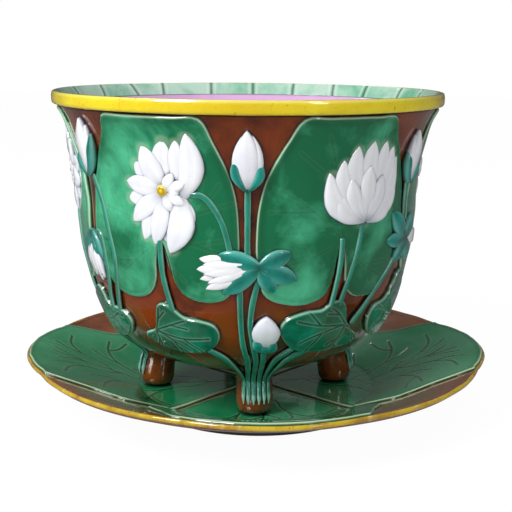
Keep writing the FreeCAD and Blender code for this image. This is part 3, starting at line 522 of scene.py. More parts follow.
@dataclass
class Leaf:
    """Leaf of any outline with a rolled edge and engraved veins, which lies on the wall."""

    outline: np.ndarray
    centre: np.ndarray
    veins: list[np.ndarray]
    relief: float = 0.0
    roll: float = 2.4
    vein_width: float = 0.9
    vein_depth: float = 0.45
    vein_show: float = 1.0
    rings: int = 60
    seed: int = 1
    flowers: list = field(default_factory=list)
    surface: ClassVar[object] = WALL
    back: ClassVar[tuple] = (1.0, 0.8, 0.6, 0.4, 0.2)
    depth: ClassVar[float] = SUNK
    # Pooled colour of the side walls down to the underside: painted shade round the leaf's
    # outline
    back_pool_and_shade: ClassVar[float] = 1.0

    def spread(self, shares: np.ndarray) -> np.ndarray:
        """Points at shares t of the way from the centre c to the edge e, as c + t (e - c)."""
        rings = self.centre + shares[:, None, None] * (self.outline - self.centre)
        return rings.reshape(-1, 2)

    def engraving(self, flat: np.ndarray, gap: float) -> tuple[np.ndarray, np.ndarray]:
        """Groove exp(-(v / width)^2) at a distance v from a vein, and the ridge beside it.

        Args:
            flat: rows of points.
            gap: distance from the vein to the ridge, in widths.

        Returns:
            The groove and the ridge, each up to 1.
        """
        vein = np.min([line_distance(flat, line) for line in self.veins], axis=0)
        return (bell(vein, 0.0, self.vein_width),
                bell(vein, gap * self.vein_width, self.vein_width))

    def profile(self, flat: np.ndarray, near: np.ndarray) -> tuple:
        """Lift, thinness and pooling of each point.

        The lift is relief (1 - 0.75 (1 - d / roll)^2) at a distance d from the edge, with a
        bead along the edge and a slow swell, less the veins' grooves. The glaze is thin on
        the edge, on ridges and as a halo round the petals that lie on the leaf, and pools in
        the grooves, at the edge's foot and behind the bead.

        Args:
            flat: rows of points.
            near: their distances from the edge.

        Returns:
            Three arrays.
        """
        groove, ridge = self.engraving(flat, 2.2)
        edge = np.clip(near / self.roll, 0, 1)
        lift = (self.relief * (0.25 + 0.75 * (1 - (1 - edge) ** 2))
                + 0.35 * bell(near, 0.9 * self.roll, 0.6 * self.roll)
                + 0.3 * ripple(flat, 38.0, self.seed)
                + self.vein_depth * (0.5 * ridge - groove))
        thin = np.maximum(0.85 * bell(near, 0.95, 0.45), self.vein_show * 0.2 * ridge)
        for start, tip, half in self.flowers:
            end = np.asarray(start) + 0.9 * (np.asarray(tip) - start)
            off = np.maximum(line_distance(flat, np.array([start, end])) - half, 0)
            thin = np.maximum(thin, 0.2 * bell(off, 0.0, 1.8))
        pool = np.max([self.vein_show * groove, 0.3 * bell(near, 2.0 * self.roll, self.roll),
                       bell(near, 0.0, 0.5)], axis=0)
        return np.minimum(lift, self.relief + 0.6), thin, pool

    def shell(self, middle: float) -> Shell:
        """Leaf laid on its surface.

        Args:
            middle: azimuth that it is laid at.

        Returns:
            The closed shell, with the numbers "thin" and "pool".
        """
        share = 1 - (1 - np.linspace(0, 1, self.rings + 1)[1:]) ** EDGE_CROWDING
        flat = np.vstack([self.spread(share), self.centre])
        loop = np.vstack([self.outline, self.outline[:1]])[::4]
        lift, thin, pool = self.profile(flat, line_distance(flat, loop))
        below = np.vstack([self.spread(np.array(self.back)), self.centre])
        top = self.surface.place(flat, lift, middle)
        low = self.surface.place(below, np.full(len(below), self.depth), middle)
        rings = np.concatenate([top[:-1], low[:-1]]).reshape(-1, len(self.outline), 3)
        rest = np.zeros(len(below) - 1)
        # The side walls below the top take the back rings' pooled colour, a painted shade round
        # the outline of the wall's leaves.
        return Shell.of_rings(rings, top[-1], low[-1],
                              thin=np.r_[thin[:-1], rest, thin[-1], 0],
                              pool=np.r_[pool[:-1], rest + self.back_pool_and_shade, pool[-1], 0])


@dataclass
class LilyPad(Leaf):
    """Lily pad whose top is the dish's profile, with its edge rolled down to the ground."""

    over: list = field(default_factory=list)
    surface: ClassVar[object] = DISH
    back: ClassVar[tuple] = tuple(np.linspace(1.0, 0.1, 10))
    depth: ClassVar[float] = -PAD_THICKNESS - 0.4
    back_pool_and_shade: ClassVar[float] = 0.0

    def profile(self, flat: np.ndarray, near: np.ndarray) -> tuple:
        """Lift, thinness and pooling of each point.

        The lift is -1.5 (1 - d / roll)^2 at a distance d from the edge, less the grooves, and
        falls by 1.2 mm under the pads that lie over this one.

        Args:
            flat: rows of points.
            near: their distances from the edge.

        Returns:
            Three arrays.
        """
        groove, ridge = self.engraving(flat, 2.4)
        edge = np.clip(near / self.roll, 0, 1)
        lift = -1.5 * (1 - edge) ** 2 - self.vein_depth * groove + 0.05 * ridge - 0.05
        lift = np.minimum(lift, 0.0)
        for outline in self.over:
            lift = lift - 1.2 * ease(inside(flat, outline), -1.2, 1.2)
        thin = np.maximum(bell(near, 1.2, 0.7), 0.1 * ridge)
        pool = np.max([groove, 0.3 * bell(near, 4.0, 2.0), bell(near, 0.0, 0.5)], axis=0)
        return lift, thin, pool


def inside(flat: np.ndarray, outline: np.ndarray) -> np.ndarray:
    """How far each plan point lies inside a star-shaped outline, negative outside it."""
    centre = outline.mean(axis=0)
    angles = np.arctan2(*(outline - centre).T)
    order = np.argsort(angles)
    reach = np.linalg.norm(outline - centre, axis=1)[order]
    here = np.arctan2(*(flat - centre).T)
    return (np.interp(here, angles[order], reach, period=2 * math.pi)
            - np.linalg.norm(flat - centre, axis=1))


@dataclass(frozen=True)
class PetalStyle:
    """How a petal rises: its height, the shares of it that the foot and tip keep, the depth of
    its groove, how blunt it is and how far it bows sideways as a share of its length."""

    relief: float
    foot: float = 0.6
    tip: float = 0.5
    groove: float = 0.5
    blunt: float = 0.0
    bow: float = 0.0


PETAL_WIDTHS = ([0.0, 0.12, 0.3, 0.5, 0.66, 0.8, 0.9, 0.96, 1.0],
                [0.42, 0.62, 0.86, 1.0, 0.98, 0.8, 0.53, 0.3, 0.04])


def petal(spec: tuple, middle: float, style: PetalStyle) -> Shell:
    """Pointed petal on the wall, with fine ribs along it.

    At a share u of its length and v of its half width the lift is
    relief rise(u) (0.68 + 0.32 sqrt(1 - v^2)) - groove exp(-(v / 0.3)^2) sin(pi u), where rise
    is a quarter sine from the foot up to 1 and a parabola from there down to the tip.

    Args:
        spec: foot azimuth and height, tip azimuth and height, and width.
        middle: azimuth that it is seen from.
        style: how it rises.

    Returns:
        The closed shell, with the numbers "thin" and "pool".
    """
    start = np.array(WALL.flat(spec[0], spec[1], middle))
    tip = np.array(WALL.flat(spec[2], spec[3], middle))
    along = tip - start
    length = np.linalg.norm(along)
    along /= length
    across = np.array([-along[1], along[0]])
    steps, sides = 26, 9
    u = np.linspace(0, 1, steps) ** 0.9
    v = np.sin(np.linspace(-math.pi / 2, math.pi / 2, sides))
    width = np.interp(u, *PETAL_WIDTHS) * (spec[4] / 2)
    width = width + style.blunt * spec[4] / 2 * np.sin(math.pi * u) * (1 - u)
    bend = style.bow * length * np.sin(math.pi * u)
    u_all, v_all = (grid.ravel() for grid in np.meshgrid(u, v, indexing="ij"))
    w_all = np.repeat(width, sides)
    flat = (start + along * (u_all * length)[:, None]
            + across * (w_all * v_all + np.repeat(bend, sides))[:, None])
    rise = (style.foot + (1 - style.foot) * np.sin(math.pi / 2 * np.minimum(u_all / 0.55, 1))
            - (1 - style.tip) * np.maximum((u_all - 0.55) / 0.45, 0) ** 2)
    lift = (style.relief * rise * (0.68 + 0.32 * np.sqrt(np.clip(1 - v_all ** 2, 0, 1)))
            - style.groove * bell(v_all, 0.0, 0.3) * np.sin(math.pi * u_all)
            + 0.2 * np.sin(8 * v_all) * np.sin(math.pi * u_all))
    top = WALL.place(flat, lift, middle).reshape(steps, sides, 3)
    under = WALL.place(flat, np.full(len(flat), SUNK), middle).reshape(steps, sides, 3)
    rings = np.concatenate([top, under[:, ::-1]], axis=1)
    thin = (0.6 * np.abs(v_all) ** 3).reshape(steps, sides)
    # Pooled colour at the foot and along a line beside the middle; the side walls take it in
    # full, which paints a shade line round the petal.
    pool = (0.7 * bell(u_all, 0.0, 0.2) + 0.25 * bell(v_all, 0.15, 0.15)).reshape(steps, sides)
    side = np.ones((steps, sides))
    ends = np.zeros(2)
    return Shell.of_rings(
        rings, rings[0].mean(axis=0), rings[-1].mean(axis=0),
        thin=np.r_[np.concatenate([thin, side * 0], axis=1).ravel(), ends],
        pool=np.r_[np.concatenate([pool, side], axis=1).ravel(), ends])


def heart(place: tuple[float, float], radius: float, relief: float, middle: float) -> Shell:
    """Domed heart of a flower with a dimpled face.

    At a share t of the radius its lift is relief sqrt(1 - 0.6 t^2) + 0.25 cos(3 pi t).

    Args:
        place: azimuth and height of its centre.
        radius: its radius.
        relief: how far it stands out.
        middle: azimuth that it is seen from.

    Returns:
        The closed shell.
    """
    centre = np.array(WALL.flat(*place, middle))
    angles = circle(40)
    ring = np.stack([np.cos(angles), np.sin(angles)], axis=1) * radius
    share = np.linspace(0, 1, 10)[1:]
    flat = (centre + share[:, None, None] * ring).reshape(-1, 2)
    t_all = np.repeat(share, len(ring))
    lift = relief * np.sqrt(1 - 0.6 * t_all ** 2) + 0.25 * np.cos(3 * math.pi * t_all)
    top = WALL.place(flat, lift, middle).reshape(len(share), -1, 3)
    low = WALL.place(centre + ring, np.full(len(ring), SUNK), middle)[None]
    poles = WALL.place(np.array([centre, centre]), np.array([relief + 0.25, SUNK]), middle)
    thin = np.r_[t_all ** 4, np.ones(len(ring)), 0, 0]
    pool = np.r_[bell(t_all, 0.5, 0.2), np.zeros(len(ring)), 0, 0]
    return Shell.of_rings(np.concatenate([top, low]), poles[0], poles[1], thin=thin, pool=pool)


def tube(path: np.ndarray, outward: np.ndarray, radius: np.ndarray) -> Shell:
    """Stem along a path, with pointed ends.

    A ring at a point is p + r (cos a side + sin a out), where side is the path's direction
    crossed with the outward one.

    Args:
        path: rows of points in metres.
        outward: rows of directions away from what carries it.
        radius: radius at each point, in metres.

    Returns:
        The closed shell, with the numbers "thin" and "pool".
    """
    along = np.gradient(path, axis=0)
    along /= np.linalg.norm(along, axis=1)[:, None]
    side = np.cross(along, outward)
    side /= np.linalg.norm(side, axis=1)[:, None]
    out = np.cross(side, along)
    angles = circle(14)
    rings = (path[:, None] + radius[:, None, None]
             * (np.cos(angles)[None, :, None] * side[:, None]
                + np.sin(angles)[None, :, None] * out[:, None]))
    front = np.tile(np.sin(angles), len(path))
    thin = 0.8 * bell(front, 0.5, 0.2)
    # Pooled colour on the flanks and underside, where the stem meets the wall: pooled glaze and
    # painted shade.
    pool = np.clip(1.0 - 4.0 * front, 0, 1)
    return Shell.of_rings(rings, path[0] - along[0] * radius[0] * 0.6,
                          path[-1] + along[-1] * radius[-1] * 0.6,
                          thin=np.r_[thin, 0, 0], pool=np.r_[pool, 0, 0])


def wall_stem(route: list, middle: float) -> Shell:
    """Stem that lies on the wall along (azimuth, height) points."""
    flat = smooth_path([WALL.flat(a, z, middle) for a, z in route], 70)
    path = WALL.place(flat, np.full(len(flat), STEM_LIFT), middle)
    outward = WALL.place(flat, np.full(len(flat), 3.0), middle) - path
    step = np.linspace(0, 1, len(flat))
    radius = STEM_RADIUS * (0.94 + 0.05 * np.sin(7 * step) + 0.03 * np.sin(23 * step))
    return tube(path, outward, radius * MM)


def foot_stem(route: list, foot_azimuth: float, side_angle: float) -> Shell:
    """Stem from the underside of the wall down a foot, which ends in a pale drip.

    Args:
        route: (azimuth, height) points under the wall.
        foot_azimuth: azimuth of the foot.
        side_angle: angle round the foot from its outward side.

    Returns:
        The closed shell.
    """
    points = [WALL.place(np.array([WALL.flat(a, z, a)]), np.array([STEM_LIFT]), a)[0]
              for a, z in route]
    levels, centres, radii = (np.array(column) for column in zip(*FOOT_SECTIONS))
    turn, out = math.radians(foot_azimuth), math.radians(STEM_GATHER * side_angle)
    for level in STEM_FOOT_HEIGHTS:
        reach = np.interp(level, levels, radii) + 0.9
        forward = np.interp(level, levels, centres) + reach * math.cos(out)
        x, y = turned(reach * math.sin(out), forward, turn)
        points.append(np.array([x + BOWL_SHIFT, y, level + WELL_HEIGHT]) * MM)
    path = smooth_path(points, 60)
    axis = turned(0.0, FOOT_AXIS, turn)
    outward = path - np.array([axis[0] + BOWL_SHIFT, axis[1], STEM_AIM_HEIGHT]) * MM
    outward[:, 2] *= 0.35
    step = np.linspace(0, 1, len(path))
    radius = STEM_RADIUS * (1 - 0.22 * ease(step, 0.3, 0.7)) * (1 - 0.7 * ease(step, 0.9, 1.0))
    shell = tube(path, outward, radius * MM)
    drip = np.repeat(ease(step, 0.84, 0.95), (len(shell.points) - 2) // len(path))
    shell.values["thin"][:-2] = np.maximum(shell.values["thin"][:-2], drip)
    return shell


# ---------------------------------------------------------------- glazes

class Slot(Enum):
    """Material slots of the record."""

    WALL = "wall_glaze"
    YELLOW = "yellow_glaze"
    MINT = "mint_glaze"
    AMBER = "amber_glaze"
    LEAF = "leaf_green_glaze"
    PAD = "pad_green_glaze"
    STEM = "stem_glaze"
    TURQUOISE = "turquoise_glaze"
    WHITE = "white_glaze"
    DISH_BROWN = "dish_brown_glaze"
    DISH_GREEN = "dish_green_glaze"


def set_inputs(tree: bpy.types.NodeTree, node: bpy.types.Node, inputs: dict) -> None:
    """Gives inputs of a node constants, or links to the outputs of other nodes."""
    for key, value in inputs.items():
        if isinstance(value, bpy.types.NodeSocket):
            tree.links.new(value, node.inputs[key])
        else:
            node.inputs[key].default_value = value


def add_node(tree: bpy.types.NodeTree, kind: str, inputs: dict | None = None,
             **settings: object) -> bpy.types.Node:
    """New shader node in a tree.

    Args:
        tree: tree that it goes into.
        kind: its class, without the prefix "ShaderNode".
        inputs: constants, or outputs of other nodes, by the name or the number of the input.
        settings: its properties.

    Returns:
        The new node.
    """
    made = tree.nodes.new("ShaderNode" + kind)
    for key, value in settings.items():
        setattr(made, key, value)
    set_inputs(tree, made, inputs or {})
    return made


def new_group(name: str, inputs: dict, outputs: dict) -> tuple:
    """New node group with its sockets.

    Args:
        name: name of the group.
        inputs: kind of each input by its name.
        outputs: kind of each output by its name.

    Returns:
        The tree, the outputs of its input node and the inputs of its output node.
    """
    tree = bpy.data.node_groups.new(name, "ShaderNodeTree")
    for way, sockets in (("INPUT", inputs), ("OUTPUT", outputs)):
        for key, kind in sockets.items():
            tree.interface.new_socket(key, in_out=way, socket_type="NodeSocket" + kind)
    source, sink = tree.nodes.new("NodeGroupInput"), tree.nodes.new("NodeGroupOutput")
    return tree, source.outputs, sink.inputs


def mottle_group() -> None:
    """Node group that gives the slow clouds of a glaze and its fine specks, both 0 to 1."""
    tree, source, sink = new_group("GlazeMottle", {"Size": "Float"},
                                   {"Cloud": "Float", "Speck": "Float"})
    place = add_node(tree, "TexCoord").outputs["Object"]
    cloud = add_node(tree, "TexNoise", {"Vector": place, "Scale": source["Size"], "Detail": 6.0,
                                        "Roughness": 0.6, "Distortion": 0.3})
    speck = add_node(tree, "TexNoise", {"Vector": place, "Scale": 420.0, "Detail": 2.0})
    for noise, low, high, name in ((cloud, 0.43, 0.67, "Cloud"), (speck, 0.66, 0.76, "Speck")):
        spread = add_node(tree, "MapRange", {"Value": noise.outputs["Fac"], "From Min": low,
                                             "From Max": high})
        tree.links.new(spread.outputs["Result"], sink[name])


def crease_pool_and_shade_group() -> None:
    """Node group that gives 1 in creases between pieces and 0 elsewhere, by ambient occlusion:
    pooled glaze and painted shade.
    """
    tree, _, sink = new_group("GlazeCreasePoolAndShade", {}, {"Mask": "Float"})
    crease_pool_and_shade = add_node(tree, "AmbientOcclusion", {"Distance": 0.004}, samples=6)
    spread = add_node(tree, "MapRange", {"Value": crease_pool_and_shade.outputs["AO"], "From Min": 0.78,
                                         "From Max": 0.45})
    tree.links.new(spread.outputs["Result"], sink["Mask"])


def blend_group() -> None:
    """Node group that lays each masked colour in turn over a base colour."""
    layers = {"Cloud": "Cloudy", "Pool And Shade Mask": "Pooled And Shaded", "Thin Mask": "Thin", "Speck": "Pooled And Shaded",
              "Crease Pool And Shade": "Pooled And Shaded"}
    colours = dict.fromkeys(("Base", *layers.values()), "Color")
    tree, source, sink = new_group("GlazeBlend", colours | dict.fromkeys(layers, "Float"),
                                   {"Colour": "Color"})
    last = source["Base"]
    for mask, colour in layers.items():
        mix = add_node(tree, "Mix", {0: source[mask], 6: last, 7: source[colour]},
                       data_type="RGBA")
        last = mix.outputs[2]
    tree.links.new(last, sink["Colour"])


@dataclass(frozen=True)
class Glaze:
    """Clear coloured lead glaze over earthenware."""

    name: str
    base: tuple
    cloudy: tuple
    pooled_and_shaded: tuple
    thin: tuple
    size: float = 14.0
    roughness: float = 0.16
    coat: float = 1.0
    coat_roughness: float = 0.03
    pool_and_shade_strength: float = 0.8
    thin_strength: float = 0.85
    specks: float = 0.25
    wave: float = 0.06
    # Strength of the darkening in creases: pooled glaze and painted shade
    crease_pool_and_shade: float = 0.8

    def material(self) -> bpy.types.Material:
        """The finished material, which reads the numbers "thin" and "pool" of its mesh."""
        made = bpy.data.materials.new(self.name)
        made.use_nodes = True
        tree = made.node_tree
        shader = tree.nodes["Principled BSDF"]
        mottle = add_node(tree, "Group", node_tree=bpy.data.node_groups["GlazeMottle"])
        mottle.inputs["Size"].default_value = self.size
        # Ambient occlusion darkens the creases between pieces: pooled glaze and painted shade
        crease_pool_and_shade = add_node(tree, "Group", node_tree=bpy.data.node_groups["GlazeCreasePoolAndShade"])
        pool, thin = (add_node(tree, "Attribute", attribute_name=key) for key in ("pool", "thin"))
        colours = {"Base": self.base, "Cloudy": self.cloudy, "Pooled And Shaded": self.pooled_and_shaded,
                   "Thin": self.thin}
        layers = {name: (*linear(colour), 1.0) for name, colour in colours.items()}
        layers["Cloud"] = mottle.outputs["Cloud"]
        for name, mask, strength in (("Crease Pool And Shade", crease_pool_and_shade.outputs["Mask"], self.crease_pool_and_shade),
                                     ("Pool And Shade Mask", pool.outputs["Fac"], self.pool_and_shade_strength),
                                     ("Thin Mask", thin.outputs["Fac"], self.thin_strength),
                                     ("Speck", mottle.outputs["Speck"], self.specks)):
            layers[name] = add_node(tree, "Math", {0: mask, 1: strength}, operation="MULTIPLY",
                                    use_clamp=True).outputs[0]
        blend = add_node(tree, "Group", node_tree=bpy.data.node_groups["GlazeBlend"])
        place = add_node(tree, "TexCoord").outputs["Object"]
        wave = add_node(tree, "TexNoise", {"Vector": place, "Scale": 60.0, "Detail": 2.0})
        bump = add_node(tree, "Bump", {"Strength": self.wave, "Distance": 0.004,
                                       "Height": wave.outputs["Fac"]}).outputs["Normal"]
        set_inputs(tree, blend, layers)
        set_inputs(tree, shader, {
            "Base Color": blend.outputs["Colour"], "Roughness": self.roughness, "IOR": 1.5,
            "Coat Weight": self.coat, "Coat Roughness": self.coat_roughness, "Coat IOR": 1.55,
            "Normal": bump, "Coat Normal": bump})
        return made


def linear(colour: tuple) -> tuple:
    """Linear light of a colour given as 0 to 255 steps, as ((c + 0.055) / 1.055)^2.4."""
    shares = (channel / 255.0 for channel in colour)
    return tuple(share / 12.92 if share < 0.04045 else ((share + 0.055) / 1.055) ** 2.4
                 for share in shares)


GLAZES = {
    "earth": Glaze("GlazeEarthBrown", (124, 50, 4), (60, 20, 2), (14, 4, 1), (170, 104, 40),
                   size=20.0),
    "lilac": Glaze("GlazeLilac", (228, 184, 224), (214, 164, 212), (164, 120, 162),
                   (240, 218, 240), size=8.0, crease_pool_and_shade=0.2),
    "yellow": Glaze("GlazeYellow", (236, 214, 38), (216, 186, 24), (120, 84, 8),
                    (250, 240, 130), specks=0.6),
    "mint": Glaze("GlazeMint", (190, 224, 202), (104, 186, 148), (6, 84, 58), (222, 238, 222),
                  size=22.0),
    "amber": Glaze("GlazeAmber", (140, 62, 8), (72, 26, 4), (26, 8, 2), (196, 130, 60),
                   size=26.0),
    "leaf": Glaze("GlazeLeafGreen", (0, 104, 64), (76, 190, 142), (0, 44, 30),
                  (224, 234, 204), size=12.0),
    "small_leaf": Glaze("GlazeSmallLeaf", (0, 100, 74), (30, 150, 120), (0, 34, 28),
                        (190, 216, 190), size=24.0),
    "stem": Glaze("GlazeStem", (24, 134, 110), (8, 104, 84), (0, 42, 34), (168, 218, 200),
                  size=30.0),
    "sepal": Glaze("GlazeSepal", (4, 140, 126), (0, 100, 86), (0, 46, 38), (150, 222, 210),
                   size=34.0),
    # Its pooled colour is mostly painted shade: the grey line on the petals' side walls and in
    # the creases between pieces.
    "white": Glaze("GlazeWhite", (244, 244, 246), (230, 231, 240), (74, 88, 110),
                   (206, 212, 224), pool_and_shade_strength=0.75, thin_strength=0.7, specks=0.1,
                   crease_pool_and_shade=0.9),
    "heart": Glaze("GlazeHeart", (240, 206, 16), (222, 180, 10), (140, 96, 8),
                   (246, 230, 110)),
    "dish_brown": Glaze("GlazeDishBrown", (152, 88, 48), (110, 54, 24), (50, 24, 12),
                        (214, 184, 96), size=16.0),
    "dish_green": Glaze("GlazeDishGreen", (6, 136, 82), (76, 164, 116), (2, 30, 18),
                        (214, 228, 188), size=9.0, pool_and_shade_strength=0.95),
    "dish_yellow": Glaze("GlazeDishYellow", (208, 176, 44), (166, 120, 32), (84, 48, 18),
                         (236, 226, 186), size=40.0, specks=1.0),
}


class Palette:
    """Materials of the glazes, each made when it is first asked for."""

    def __init__(self) -> None:
        """Makes the shared node groups."""
        mottle_group()
        crease_pool_and_shade_group()
        blend_group()
        self.made: dict[str, bpy.types.Material] = {}

    def get(self, name: str) -> bpy.types.Material:
        """Material of a glaze by its short name."""
        if name not in self.made:
            self.made[name] = GLAZES[name].material()
        return self.made[name]


@dataclass
class Assembly:
    """Pieces that ride on one body and take their glazes from one palette."""

    palette: Palette
    body: str = ""

    def make(self, name: str, shell: Shell, glaze: str, node: str,
             slot: Slot) -> bpy.types.Object:
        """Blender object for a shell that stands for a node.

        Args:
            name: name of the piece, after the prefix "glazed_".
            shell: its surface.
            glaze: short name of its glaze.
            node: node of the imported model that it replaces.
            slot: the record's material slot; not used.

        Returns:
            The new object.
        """
        mesh = bpy.data.meshes.new("glazed_" + name)
        mesh.from_pydata(shell.points, [], shell.faces)
        mesh.polygons.foreach_set("use_smooth", [True] * len(mesh.polygons))
        for key, numbers in shell.values.items():
            mesh.attributes.new(key, "FLOAT", "POINT").data.foreach_set("value", numbers)
        mesh.materials.append(self.palette.get(glaze))
        mesh.validate()
        face_out(mesh)
        piece = bpy.data.objects.new("glazed_" + name, mesh)
        bpy.context.scene.collection.objects.link(piece)
        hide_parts(node)
        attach(piece, self.body)
        LOG.info("%s: %d points", piece.name, len(shell.points))
        return piece

    def second_glaze(self, piece: bpy.types.Object, glaze: str, mask: np.ndarray) -> None:
        """Gives another glaze to the faces whose first corner has a mask above one half."""
        piece.data.materials.append(self.palette.get(glaze))
        chosen = np.array([mask[face.vertices[0]] > 0.5 for face in piece.data.polygons])
        piece.data.polygons.foreach_set("material_index", chosen.astype(int))


# ---------------------------------------------------------------- turned pieces

def revolve(profile: np.ndarray, count: int, centre_x: float, base: float,
            wave: np.ndarray | None = None) -> np.ndarray:
    """Rings round the vertical axis.

    Args:
        profile: rows of (radius, height).
        count: points round the axis.
        centre_x: X of the axis.
        base: height that is added.
        wave: change of radius at each point, rows by count.

    Returns:
        Array (rows, count, 3) in metres.
    """
    angles = circle(count)
    radius = np.repeat(profile[:, :1], count, axis=1)
    if wave is not None:
        radius = radius + wave
    height = np.repeat(profile[:, 1:2], count, axis=1)
    return np.stack([radius * np.sin(angles) + centre_x, -radius * np.cos(angles),
                     height + base], axis=2) * MM


def rounded(corners: list, steps: int = 8) -> np.ndarray:
    """Closed loop of corners joined by straight runs, each cut into steps."""
    ring = np.asarray(corners, float)
    following = np.roll(ring, -1, axis=0)
    share = np.linspace(0, 1, steps, endpoint=False)[None, :, None]
    return (ring[:, None] + share * (following - ring)[:, None]).reshape(-1, 2)


@dataclass
class Pot(Assembly):
    """Turned body of the jardiniere: wall, rim band, lip band and feet."""

    body: str = "jardiniere"
    around: int = 288
    joints: int = 24

    def wall(self) -> None:
        """Wall with its floor: brown outside, lilac inside."""
        outer = smooth_path([(0.0, UNDERSIDE_HEIGHT), (30.0, UNDERSIDE_HEIGHT), *WALL_PROFILE],
                            150)[1:]
        along = np.gradient(outer, axis=0)
        along /= np.linalg.norm(along, axis=1)[:, None]
        inner = outer - np.stack([along[:, 1], -along[:, 0]], axis=1) * WALL_THICKNESS
        inner = inner[inner[:, 1] > FLOOR_HEIGHT + 5.0]
        inner[-1, 1] = outer[-1, 1]
        floor = np.array([(2.0, FLOOR_HEIGHT), (40.0, FLOOR_HEIGHT),
                          (inner[0, 0] - 24.0, FLOOR_HEIGHT)])
        inside_loop = smooth_path([*floor, *inner[::6], inner[-1]], 120)
        loop = np.vstack([outer, inside_loop[::-1]])
        rings = revolve(loop, self.around, BOWL_SHIFT, WELL_HEIGHT)
        lilac = np.repeat(np.arange(len(loop)) >= len(outer), self.around)
        lilac = np.r_[lilac, False, True].astype(float)
        poles = np.array([[BOWL_SHIFT, 0, height + WELL_HEIGHT]
                          for height in (UNDERSIDE_HEIGHT, FLOOR_HEIGHT)]) * MM
        shell = Shell.of_rings(rings, *poles, lilac=lilac)
        piece = self.make("wall", shell, "earth", "bowl_wall", Slot.WALL)
        self.second_glaze(piece, "lilac", lilac)

    def rim(self) -> None:
        """Rounded yellow band around the mouth."""
        side = smooth_path([(RIM_RADIUS - 3.4, RIM_FOOT), (RIM_RADIUS - 0.9, RIM_FOOT + 0.9),
                            (RIM_RADIUS, RIM_FOOT + 3.4), (RIM_RADIUS, BOWL_HEIGHT - 3.6),
                            (RIM_RADIUS - 0.7, BOWL_HEIGHT - 1.0),
                            (RIM_RADIUS - 2.7, BOWL_HEIGHT)], 26)
        inner = smooth_path([(RIM_RADIUS - 2.9, BOWL_HEIGHT - 0.3), (167.8, RIM_FOOT)], 10)
        loop = np.vstack([side, inner])
        count = 360
        angles = circle(count)
        points = np.stack([np.cos(angles), np.sin(angles)], axis=1) * 160.0
        wave = np.zeros((len(loop), count))
        wave[2:22] = -0.25 + 0.25 * ripple(points, 60.0, 5)
        rings = revolve(loop, count, BOWL_SHIFT, WELL_HEIGHT, wave)
        low = np.linspace(0, 1, len(side))
        pool = np.r_[0.9 * bell(low, 0.0, 0.12), np.zeros(len(inner))]
        thin = np.r_[0.7 * bell(low, 0.86, 0.1), np.zeros(len(inner))]
        shell = Shell.of_rings(rings, pool=np.repeat(pool, count), thin=np.repeat(thin, count))
        self.make("rim", shell, "yellow", "rim_band", Slot.YELLOW)

    def lip(self) -> None:
        """Mint band inside the mouth, moulded with short upright joints."""
        face = smooth_path([(173.1, BOWL_HEIGHT - 0.1), (168.6, BOWL_HEIGHT - 5.0),
                            (163.7, RIM_FOOT)], 24)
        back = smooth_path([(167.2, RIM_FOOT), (175.0, BOWL_HEIGHT - 0.2)], 8)
        loop = np.vstack([face, back])
        count = 1200
        angles = circle(count)
        pitch = 2 * math.pi / self.joints
        draw = np.random.default_rng(8)
        starts = np.arange(self.joints) * pitch + draw.uniform(-0.045, 0.045, self.joints)
        down = np.linspace(0, 1, len(loop))[:, None]
        lean = draw.uniform(-0.03, 0.03, self.joints)
        gap = np.min([np.abs((angles[None] - start - slope * down + math.pi)
                             % (2 * math.pi) - math.pi)
                      for start, slope in zip(starts, lean)], axis=0) * LIP_RADIUS
        faced = (np.arange(len(loop)) < len(face))[:, None]
        rings = revolve(loop, count, BOWL_SHIFT, WELL_HEIGHT, 0.7 * bell(gap, 0.0, 1.1) * faced)
        shell = Shell.of_rings(rings, pool=(bell(gap, 0.0, 1.5) * faced).ravel(),
                               thin=(0.6 * bell(gap, 4.0, 1.6) * faced).ravel())
        self.make("lip", shell, "mint", "inner_lip_band", Slot.MINT)

    def feet(self) -> None:
        """Four stump feet, whose tops are let into the underside of the wall."""
        sections = smooth_path(FOOT_SECTIONS, 40)
        angles = circle(64)
        rows = []
        for height, centre, radius in sections:
            x = radius * np.sin(angles)
            y = centre + radius * np.cos(angles)
            rows.append(np.stack([x, y, np.full(len(angles), height)], axis=1))
        under = np.interp(np.hypot(rows[-1][:, 0], rows[-1][:, 1]), WALL.radius, WALL.height)
        for rise in (0.5, 1.0):
            top = rows[len(sections) - 1].copy()
            top[:, 1] += (rise * 2.0) * np.cos(angles)
            top[:, 2] += rise * (under + 3.0 - top[:, 2])
            rows.append(top)
        rings = np.array(rows)
        across, along, level = np.moveaxis(rings, 2, 0)
        low = np.clip(level / 30.0, 0, 1)
        pool = 0.8 * (1 - ease(low, 0.0, 0.25)) + 0.6 * ease(low, 0.7, 1.0)
        for count, side in enumerate(SIDES):
            x, y = turned(across, along, math.radians(FOOT_AZIMUTH + 90.0 * count))
            placed = np.stack([x + BOWL_SHIFT, y, level + WELL_HEIGHT], axis=2) * MM
            shell = Shell.of_rings(placed, placed[0].mean(axis=0), placed[-1].mean(axis=0),
                                   pool=np.r_[pool.ravel(), 1, 1])
            self.make("foot_" + side, shell, "amber", "foot_" + side, Slot.AMBER)


# ---------------------------------------------------------------- relief of both halves

